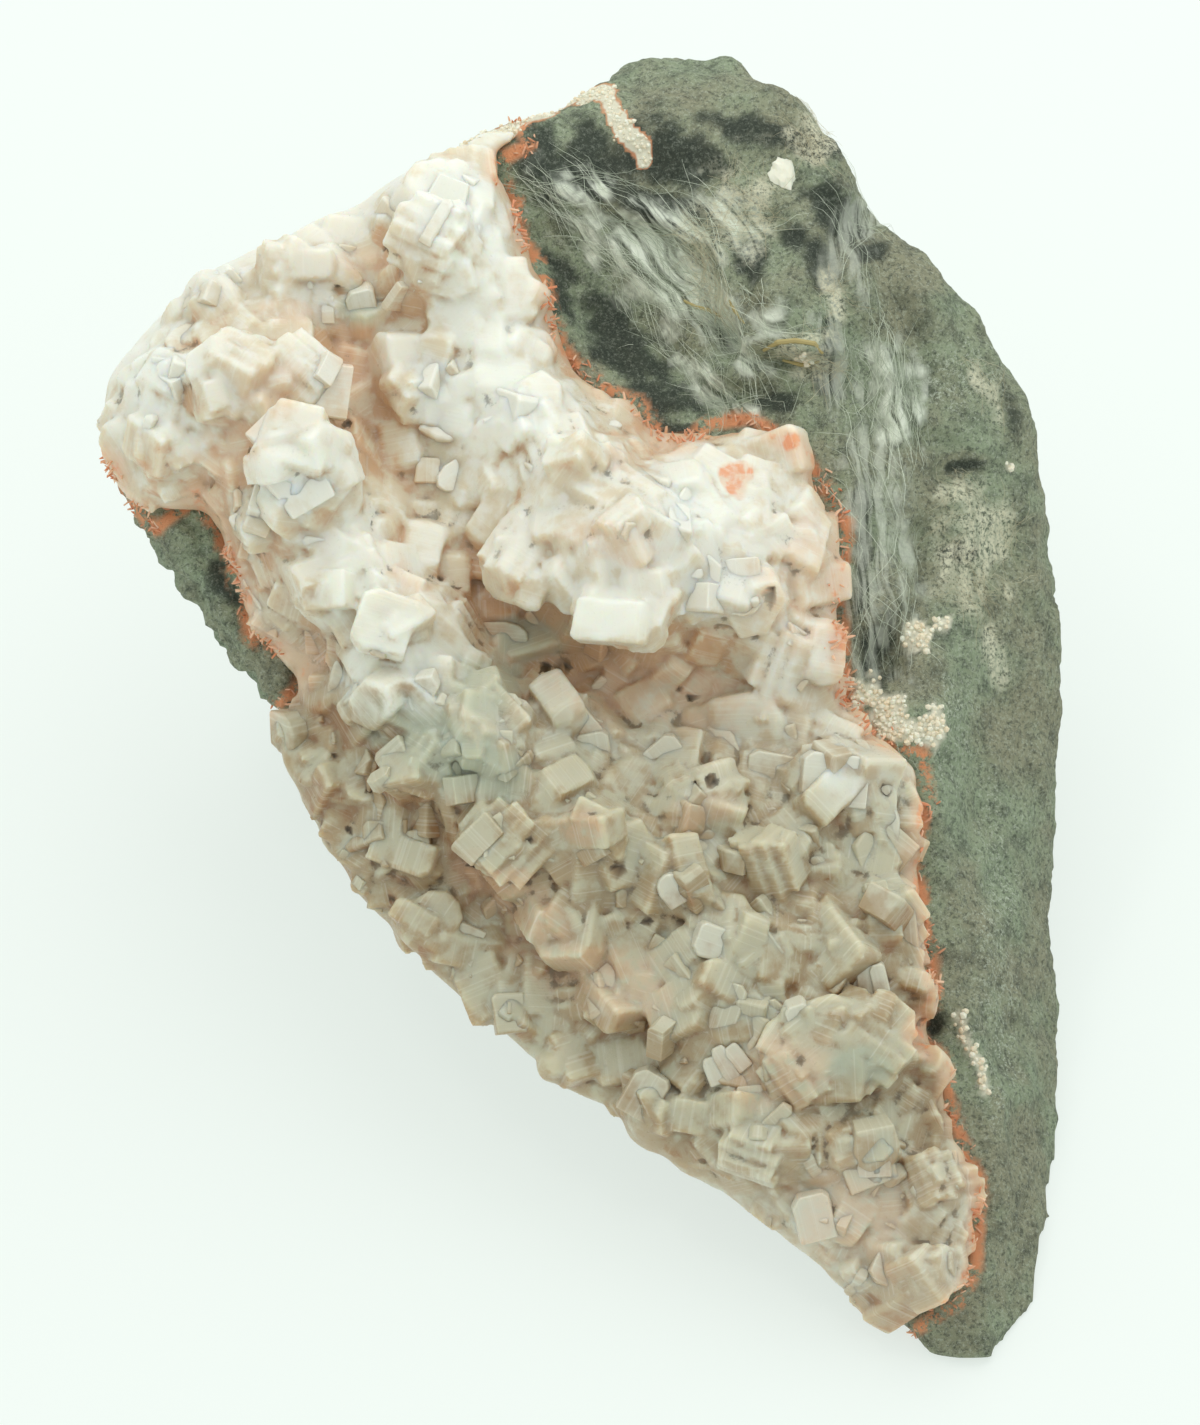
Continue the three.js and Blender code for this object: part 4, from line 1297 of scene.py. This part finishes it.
print(len(PITS), "pits and", len(CRACKS), "cracks in the crust")

# %% Height map
CELL = 0.8
MAP_LOW = np.array([-72.0, -92.0])
MAP_SHAPE = (175, 235)
FILL_PASSES = 40
EMPTY = -1000.0
NEAR_PASSES = 14
WIDE_PASSES = 120


def blurred(heights, passes):
    for _ in range(passes):
        padded = np.pad(heights, 1, mode="edge")
        heights = (padded[:-2, 1:-1] + padded[2:, 1:-1] + padded[1:-1, :-2] + padded[1:-1, 2:]
                   + padded[1:-1, 1:-1]) / 5
    return heights


def cell_of(places):
    index = ((places[:, :2] - MAP_LOW) / CELL).astype(int)
    return tuple(np.clip(index[:, axis], 0, MAP_SHAPE[axis] - 1) for axis in (0, 1))


def height_map(mesh):
    """The highest vertex in each cell of the face, with empty cells filled from around them."""
    places = to_face(vertices(mesh))
    heights = np.full(MAP_SHAPE, EMPTY)
    np.maximum.at(heights, cell_of(places), places[:, 2])
    for _ in range(FILL_PASSES):
        empty = heights == EMPTY
        known = np.where(empty, 0, heights)
        weight = blurred((~empty).astype(float), 1)
        heights = np.where(empty & (weight > 0), blurred(known, 1) / np.maximum(weight, 1e-6), heights)
    empty = heights == EMPTY
    return np.where(empty, heights[~empty].min(), heights)


heights = height_map(crust.data)
near, wide = blurred(heights, NEAR_PASSES), blurred(heights, WIDE_PASSES)
print("crust heights from", round(float(heights.min()), 1), "to", round(float(heights.max()), 1), "mm")


# %% Creases and dark specks
def bend(mesh):
    """How far each vertex stands out of its neighbours, as a share of the distance to them."""
    points, pairs = vertices(mesh), edge_pairs(mesh)
    stand = ((points - neighbour_mean(points, pairs)) * normals(mesh)).sum(axis=1)
    share = stand / np.linalg.norm(points[pairs[0]] - points[pairs[1]], axis=1).mean()
    return neighbour_mean(share, pairs) * 0.5 + share * 0.5


def dirt_mask(mesh):
    """The pits and cracks, with ragged edges, and some stray specks below the upper lobes."""
    places = to_face(vertices(mesh))
    flat = places[:, :2]
    amount = np.zeros(len(places))
    ragged = 0.9 * fractal(places, 1.1, 3, 5.0)
    for across, up, radius in PITS:
        reach = np.hypot(flat[:, 0] - across, flat[:, 1] - up) + ragged
        amount = np.maximum(amount, 1 - smoothstep(reach, 0.4 * radius, 1.0 * radius))
    for path in CRACKS:
        amount = np.maximum(amount, 0.8 * (1 - smoothstep(path_distance(flat, path), 0.2, 0.8)))
    stray = smoothstep(fractal(places, 6, 3, 2.0), 0.12, 0.4) * smoothstep(60 - places[:, 1], -5, 20)
    return np.maximum(amount, 0.5 * stray) * smoothstep(normals(mesh) @ OUT, -0.2, 0.2)


# %% Colour attributes of the crystals
# The direction of the tent light. Crystal faces turned towards it are painted lighter, as painted light.
LIGHTWARD = np.array([0.1, 0.2, 0.97])
FLAT_BEND = 0.08


def crust_colours(mesh):
    """Writes all that the crystal finish reads. A crisp crystal counts as evenly bent, without creases."""
    points = vertices(mesh)
    places = to_face(points)
    here = cell_of(places)
    # Painted shade: the further a place lies below the blurred crust, the darker and warmer it is painted.
    depth = (near[here] - places[:, 2]) / 4.5 + (wide[here] - near[here]) / 9
    rock_side, free_side = edge_distances(places[:, :2])
    depth *= smoothstep(free_side, 0, 5)
    set_attribute(mesh, "recess", np.clip(depth + 0.1, 0, 1))
    strength = 0.75 + 0.5 * fractal(points / MM, 7, 2, 1.0)
    rough = 0.5 * fractal(points / MM, 5, 3, 8.0)
    seam = (1 - smoothstep(rock_side, 0.2, 3.2)) * strength
    set_attribute(mesh, "rim", np.maximum(seam, 0.85 * oval_mask(places, SALMON_SPOTS, 2 * rough)))
    low = smoothstep(-places[:, 1] - 0.2 * places[:, 0], -16, 12)
    set_attribute(mesh, "low", low * (1 - 0.35 * smoothstep(-places[:, 1], 50, 64)))
    # Painted light: faces turned towards the tent light are painted lighter on the colour ramp.
    set_attribute(mesh, "frosted", smoothstep(normals(mesh) @ LIGHTWARD, -0.1, 0.9))
    set_attribute(mesh, "peach", 0.75 * oval_mask(places, PEACH_AREAS, rough))
    set_attribute(mesh, "glassy", 0.7 * oval_mask(places, GLASSY_AREAS, rough))
    # Whiteness, partly the crystals' own and partly painted glints, a painted highlight.
    white = np.maximum(read_attribute(mesh, "white"), 0.7 * oval_mask(places, WHITE_AREAS, rough))
    set_attribute(mesh, "white", white)
    bent = bend(mesh) if mesh == crust.data else np.full(len(points), FLAT_BEND)
    # Painted shade: concave creases are painted darker peach and brown.
    set_attribute(mesh, "crease", smoothstep(-bent, 0.02, 0.2))
    # Painted highlight: convex edges are painted lighter on the colour ramp.
    set_attribute(mesh, "edge", smoothstep(bent, 0.04, 0.25))
    set_attribute(mesh, "dirt", dirt_mask(mesh))


def press_pits(mesh):
    """Pushes the small dark pits into the crust."""
    points = vertices(mesh)
    places, in_front = to_face(points), normals(mesh) @ OUT > 0
    for across, up, radius in PITS:
        reach = np.hypot(places[:, 0] - across, places[:, 1] - up) / (1.3 * radius)
        points -= (OUT * 0.8 * radius * MM) * (np.clip(1 - reach, 0, 1) * in_front)[:, None]
    move_vertices(mesh, points)


press_pits(crust.data)
for piece in (crust, blades, edging, singles):
    crust_colours(piece.data)
    share = float(read_attribute(piece.data, "low").mean())
    print(piece.name, "lies on the lower field with a share of", round(share, 2))

# %% [markdown]
# ## Colour areas on the rock
# Felt, dust and the darkest patches lie at known places. Each is an oval on the face, its edge broken by
# noise. The popcorn areas and the veins are thin cream crusts. The flow direction tells the fibres which
# way to lie, and two flow coordinates stretch a noise into the fine hairs of the felt.

# %% Colour areas on the rock
# across, up, half length and half width in millimetres, turn in degrees
FELT_AREAS = [
    (8, 56, 17, 5.5, -36), (13, 50, 9, 4, -40), (-4, 62.5, 8, 1.6, -30), (14, 62, 6, 5, 0),
    (37, 40, 4, 7, 14), (14, 41, 7, 2, -40),
]
THIN_FELT_AREAS = [(35, 26, 24, 4.6, -84), (33, 12, 10, 3, -88), (32, 60, 3, 8, -20), (30, 44, 8, 3, -80)]
DUST_AREAS = [
    (17, 63.5, 8, 5, 60), (13, 57, 2, 6, 10), (47, 20, 8, 5.0, 90), (49.4, 7, 4, 1.6, -80),
    (46, 28, 5, 1.6, 10), (30, 51.5, 4, 1.4, -70), (25, 46.5, 5, 1.3, 12), (28, 44, 4, 2, 0),
    (27, 73, 3, 5, -20), (49, 40, 1.4, 5, 24), (14.5, 55, 6, 1.2, -70), (43, 60, 4, 1.2, -50),
]
DARK_AREAS = [
    (-4, 69, 9, 5, -10), (6, 64.5, 9, 2.6, -14), (2, 47.5, 15, 3.2, -40), (9.5, 35, 3.5, 3, 0),
    (30, 63, 6, 3, -50), (46, 31, 2.2, 0.8, 8), (16.5, 49, 1.4, 2.2, 0), (35, 8, 2.2, 7, 0),
    (22, 39.3, 4, 1.4, 0), (18.7, 57, 2.4, 3.6, 20), (41.5, -38.8, 1.8, 1.6, -30),
    (24, 72, 5, 1.4, -20), (27, 57, 2, 4, 20), (-7.5, 53, 2, 3, 15), (33, 22, 1.2, 9, 0),
    (-47, 16, 3, 2, -50), (-5, 56, 4, 1.2, -40), (22, 73, 10, 2, -12), (0, 70, 12, 4, -14),
    (8, 72, 6, 3, 0), (10, 69, 9, 4, -8), (24.7, 59.6, 2, 2.6, 0), (33.8, 58.6, 2.4, 2, 0),
    (2, 45, 4, 2, -40), (6, 41, 6, 2, -45), (45, 20.5, 2.4, 1.4, 0), (29, 44, 2, 5, 0),
    (52, 38, 1.4, 4, 0),
]
PALE_AREAS = [(46, 42, 7, 5, 0), (44, -2, 3, 8, 0), (50, -30, 3, 20, 0)]
BROWN_AREAS = [(45.6, 31, 3, 2, 0), (34, 70, 4, 6, -30), (24, 30, 8, 8, 0), (52, -60, 4, 12, 0)]
POPCORN_AREAS = [
    (36, -1.2, 4.0, 3.2, 20), (41.5, -2.6, 2.4, 3.0, 0), (33.5, 2.0, 2.0, 2.4, 0),
    (40.4, 9.4, 1.8, 2.0, 30), (43.2, 11.2, 1.0, 1.0, 0), (26.2, 44.4, 1.0, 0.6, 0),
    (51.8, 30.8, 0.8, 0.6, 0),
]

# %% Veins and flow
CREAM_VEIN = [(45, -38), (46, -41.5), (47.6, -44), (48.2, -47.5)]
HOOK_VEIN = [
    (-17, 71.6), (-12.5, 73.2), (-9, 75.4), (-6, 77.2), (-3, 78.4), (0.6, 78.2), (2.0, 76),
    (3.8, 73.2), (5.6, 70),
]
FLOW_CENTRE = (25.0, 45.0)
FLOW_ANGLE = math.radians(-50)
FLOW_STRETCH = 0.1


def rock_masks(mesh):
    """Writes how strongly each area marks the rock."""
    places = to_face(vertices(mesh))
    rough = 0.6 * fractal(places, 3.4, 5, 9.0)
    in_front = smoothstep(normals(mesh) @ OUT, -0.1, 0.3)
    for name, areas in (("felt", FELT_AREAS), ("dust", DUST_AREAS), ("dark", DARK_AREAS),
                        ("pale", PALE_AREAS), ("brown", BROWN_AREAS)):
        set_attribute(mesh, name, oval_mask(places, areas, rough) * in_front)
    thin = 0.45 * oval_mask(places, THIN_FELT_AREAS, rough) * in_front
    set_attribute(mesh, "felt", np.maximum(read_attribute(mesh, "felt"), thin))
    flat = places[:, :2]
    vein = 1 - smoothstep(path_distance(flat, CREAM_VEIN), 0.25, 0.8)
    hook = 1 - smoothstep(path_distance(flat, HOOK_VEIN) + 1.3 * rough, 0.4, 1.5)
    popcorn = oval_mask(places, POPCORN_AREAS, 1.4 * rough, 0.35, 0.6)
    set_attribute(mesh, "popcorn", np.maximum(popcorn, vein) * in_front)
    set_attribute(mesh, "hook", hook * in_front)
    rock_side, _ = edge_distances(flat)
    set_attribute(mesh, "rim", 1 - smoothstep(rock_side + 0.5 * rough, 0.4, 1.3))
    clumps = smoothstep(fractal(places, 5, 2, 6.0), -0.25, 0.25)
    felted = smoothstep(read_attribute(mesh, "felt"), 0.1, 0.8)
    set_attribute(mesh, "strands", felted * (0.15 + 0.85 * clumps))
    set_attribute(mesh, "tan_strands", smoothstep(read_attribute(mesh, "dust"), 0.1, 0.7) * clumps)


def rock_flow(mesh):
    """Writes which way the fibres lie, steeper on the right, and coordinates across and along them."""
    places = to_face(vertices(mesh))
    angle = FLOW_ANGLE - 0.6 * smoothstep(places[:, 0], 20, 30)
    turned = (angle + 0.5 * fractal(places, 14, 2, 4.0))[:, None]
    set_attribute(mesh, "flow", np.cos(turned) * ACROSS + np.sin(turned) * UP, "FLOAT_VECTOR")
    across, up = (places[:, :2] - FLOW_CENTRE).T
    wander = 1.5 * fractal(places, 9, 3, 4.0)
    set_attribute(mesh, "across_flow", up * np.cos(angle) - across * np.sin(angle) + wander)
    set_attribute(mesh, "along_flow", FLOW_STRETCH * (across * np.cos(angle) + up * np.sin(angle)))


rock_masks(rock.data)
rock_flow(rock.data)
rock.data.materials.append(basalt)
crust.data.materials.append(crystal)
print("felt covers", round(float(read_attribute(rock.data, "felt").mean()), 3), "of the rock's vertices")

# %% [markdown]
# ## Fringe, fibres and crumbs
# A fringe of salmon blades, about a millimetre long, lines the seam between crust and rock. Cream zeolite
# crumbs form small crusts of their own. Pale fibres lie matted in the hollow and hang down the side. All
# are real meshes, because they stand out against the light at the edges of the specimen.

# %% Fringe and zeolite crumbs
SEAM_WIDTH = 1.5


def seam_surface(mesh):
    """Marks the strip along the seam, on the crust or on the rock, for the fringe to grow on."""
    points = vertices(mesh)
    flat = to_face(points)[:, :2]
    beyond = np.abs(outside_crust(flat))
    on_seam = edge_distances(flat)[0] < SEAM_WIDTH
    patches = smoothstep(fractal(points / MM, 5, 2, 6.0), 0.0, 0.3)
    low_side = smoothstep(normals(mesh) @ OUT, -0.3, 0.1)
    set_attribute(mesh, "fringe", on_seam * (1 - smoothstep(beyond, 0.5, 1.3)) * patches * low_side)


seam_surface(crust.data)
seam_surface(rock.data)
fringe = [
    scatter("fringe_on_crust", crust, SLIVERS, 0.6, (0.7, 1.5), "fringe", lean=0.9, seed=5,
            finish=salmon_blades),
    scatter("fringe_on_rock", rock, SLIVERS, 0.6, (0.5, 1.2), "fringe", lean=1.2, seed=6,
            finish=salmon_blades),
]
crumbs = [
    scatter("zeolite_crumbs", rock, LUMPS, 0.5, (0.5, 1.1), "popcorn", lean=0.8, seed=9,
            finish=cream_crumbs),
    scatter("hook_vein", rock, LUMPS, 0.36, (0.25, 0.8), "hook", lean=1.2, seed=10,
            finish=cream_crumbs),
]

# %% [markdown]
# Fibres are laid on the rock after they are scattered: each ring of a fibre keeps its shape, and its
# middle is set a hair's breadth above the nearest point of the rock. Here and there a fibre lifts off.

# %% Fibres
FIBRE_LIFT = 0.06
rock_tree = surface_tree(rock)


def draped(obj, rise):
    """Lays fibres on the rock, lifted by up to about the given rise in millimetres."""
    rings = vertices(obj.data).reshape(-1, 3, 3)
    centres = rings.mean(axis=1)
    loose = rise * np.abs(fractal(centres / MM, 6, 2, 1.0))
    laid = []
    for centre, height in zip(centres.tolist(), loose.tolist()):
        spot, normal, *_ = rock_tree.find_nearest(centre)
        laid.append(spot + normal * (FIBRE_LIFT + height) * MM)
    move_vertices(obj.data, (rings + (np.array(laid) - centres)[:, None]).reshape(-1, 3))


felt_fibres = scatter("felt_fibres", rock, STRANDS, 0.66, (8.0, 15.0), "strands", lean=0.0, spin=0.7,
                      seed=14, finish=fibre)
draped(felt_fibres, rise=0.8)
tan_fibres = scatter("tan_fibres", rock, STRANDS, 0.7, (5.0, 10.0), "tan_strands", lean=0.0, spin=1.6,
                     seed=15, finish=tan_fibre)
draped(tan_fibres, rise=1.2)

# %% [markdown]
# A few bits stand alone on the rock: two scraps of straw, two rolled scraps under the boss, and an oval
# white crystal near the top. The scraps are short tubes laid along a path, the crystal is a flattened
# ball with a bumpy skin.

# %% Scraps of straw
SCRAPS = [  # radius in millimetres, then the path on the face
    (0.28, [(10.6, 52.0), (12.0, 51.2), (13.6, 50.8), (15.2, 50.0)]),
    (0.22, [(16.2, 52.0), (17.0, 50.6), (18.2, 49.0)]),
    (0.32, [(20.6, 45.6), (22.4, 46.6), (24.6, 46.8), (27.0, 46.4), (28.0, 45.2)]),
    (0.26, [(23.0, 44.4), (25.4, 43.8), (27.6, 44.2)]),
]


def tube(bm, path, radius, sides=7):
    """A scrap along a path on the face, sunk a little into the rock, its ends drawn in."""
    centres = [Vector(to_world([across, up, height_at(rock_tree, across, up) + 0.7 * radius]))
               for across, up in path]
    rings = []
    for i, centre in enumerate(centres):
        along = centres[min(i + 1, len(centres) - 1)] - centres[max(i - 1, 0)]
        side = along.cross(Vector(OUT)).normalized()
        rise = side.cross(along).normalized()
        ends = 0.6 if i in (0, len(centres) - 1) else 1.0 + 0.2 * noise.random()
        rings.append([bm.verts.new(centre + (side * math.cos(a) + rise * math.sin(a)) * radius * ends * MM)
                      for a in np.arange(sides) * math.tau / sides])
    joined_rings(bm, rings)


def solo_piece(name, build, finish):
    bm = bmesh.new()
    build(bm)
    bmesh.ops.recalc_face_normals(bm, faces=bm.faces)
    mesh = bpy.data.meshes.new(name)
    bm.to_mesh(mesh)
    bm.free()
    mesh.materials.append(finish)
    print(name, triangles(mesh), "triangles")
    return new_object(name, mesh)


def all_scraps(bm):
    for radius, path in SCRAPS:
        tube(bm, path, radius)


straws = solo_piece("straws", all_scraps, straw)

# %% White spot
SPOT_PLACE = (23.1, 67.6)
SPOT_HALF_SIZE = (1.8, 2.5, 0.7)


def oval_spot(bm):
    bmesh.ops.create_icosphere(bm, subdivisions=3, radius=1)
    centre = Vector(to_world([*SPOT_PLACE, height_at(rock_tree, *SPOT_PLACE) + 0.1]))
    for vertex in bm.verts:
        bumpy = 1 + 0.35 * noise.noise(vertex.co * 2) + 0.2 * noise.noise(vertex.co * 5)
        across, up, out = (Vector(axis) * part * half for axis, part, half
                           in zip(FACE_AXES, vertex.co * bumpy, SPOT_HALF_SIZE))
        vertex.co = centre + (across + up + out) * MM


white_spot = solo_piece("white_spot", oval_spot, cream_crumbs)

# %% [markdown]
# ## Hand the pieces to the frame
# Every piece rides on the one body and replaces the plain CAD solid that it stands for. The rock and the
# fused crust are shaded smooth, because their facets are too small to be crystal faces, and all the other
# pieces flat.

# %% Ride and replace
CRUST_PIECES = [crust, blades, edging, singles, fringe[0]]
ROCK_PIECES = [rock, fringe[1], *crumbs, felt_fibres, tan_fibres, straws, white_spot]
for group, node, slot in ((ROCK_PIECES, "basalt_matrix", "basalt"),
                          (CRUST_PIECES, "crystal_crust", "zeolite_crystal")):
    for piece in group:
        for face in piece.data.polygons:
            face.use_smooth = piece in (rock, crust)
        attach(piece, "root")
        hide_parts(node)
removed(crust_solid)
print(sum(triangles(piece.data) for piece in CRUST_PIECES + ROCK_PIECES), "triangles in all")

# %% [markdown]
# ## Floor, light and camera
# The specimen stands on a white sheet in a white tent, under one broad soft light above and behind it
# and a smaller one high up on the left that puts glints on the crystals. The sheet glows a little, as one
# that is lit from below does. The camera looks straight at the crystal face from far away, so the view
# has little perspective.

# %% Floor
FLOOR_REACH = 3.0
SHEET_COLOUR = (0.27, 0.29, 0.28, 1)
SHEET_GLOW = (0.93, 1.0, 0.955, 1)
TENT_WHITE = (0.95, 1.0, 0.96, 1)
floor_mesh = bpy.data.meshes.new("floor")
corners = [(x * FLOOR_REACH, y * FLOOR_REACH, 0) for x, y in ((-1, -1), (1, -1), (1, 1), (-1, 1))]
floor_mesh.from_pydata(corners, [], [(0, 1, 2, 3)])
floor = new_object("floor", floor_mesh)
paper, tree, shader = new_material("Lit white table")
shader.inputs["Base Color"].default_value = SHEET_COLOUR
shader.inputs["Roughness"].default_value = 0.9
shader.inputs["Emission Color"].default_value = SHEET_GLOW
shader.inputs["Emission Strength"].default_value = 0.665
floor_mesh.materials.append(paper)
print("floor reaches", FLOOR_REACH, "m each way")

# %% Light
AIM = Vector((0, 0, 0.04))
world = bpy.data.worlds.new("Studio")
world.use_nodes = True
tent = world.node_tree.nodes["Background"]
tent.inputs["Color"].default_value = TENT_WHITE
tent.inputs["Strength"].default_value = 0.83
bpy.context.scene.world = world


def soft_box(name, place, size, power, colour=(1.0, 0.985, 0.96)):
    """A round soft light at a place in metres, aimed at the middle of the specimen."""
    light = bpy.data.lights.new(name, "AREA")
    light.shape = "DISK"
    light.size = size
    light.energy = power
    light.color = colour
    obj = bpy.data.objects.new(name, light)
    obj.location = place
    obj.rotation_euler = (AIM - obj.location).to_track_quat("-Z", "Y").to_euler()
    bpy.context.scene.collection.objects.link(obj)


soft_box("tent_top", (0.08, 0.2, 0.44), 0.55, 0.85)
soft_box("glint", (-0.5, 0.1, 1.3), 0.25, 1.2)
print("lights:", [light.name for light in bpy.data.lights])

# %% Camera
IMAGE_HEIGHT = 1425
PIXELS_PER_MM = 8
CAMERA_DISTANCE = 2.5
SENSOR = 36
lens = bpy.data.cameras.new("camera")
lens.sensor_width = SENSOR
lens.lens = SENSOR * CAMERA_DISTANCE / (IMAGE_HEIGHT / PIXELS_PER_MM * MM)
lens.clip_end = 20
camera = bpy.data.objects.new("camera", lens)
camera.location = to_world([0, 0, 0]) + OUT * CAMERA_DISTANCE
camera.rotation_euler = (FACE_LEAN, 0, 0)
bpy.context.scene.collection.objects.link(camera)
bpy.context.scene.camera = camera
bpy.context.scene.view_settings.view_transform = "Standard"
print("camera stands", CAMERA_DISTANCE, "m from the crystal face")
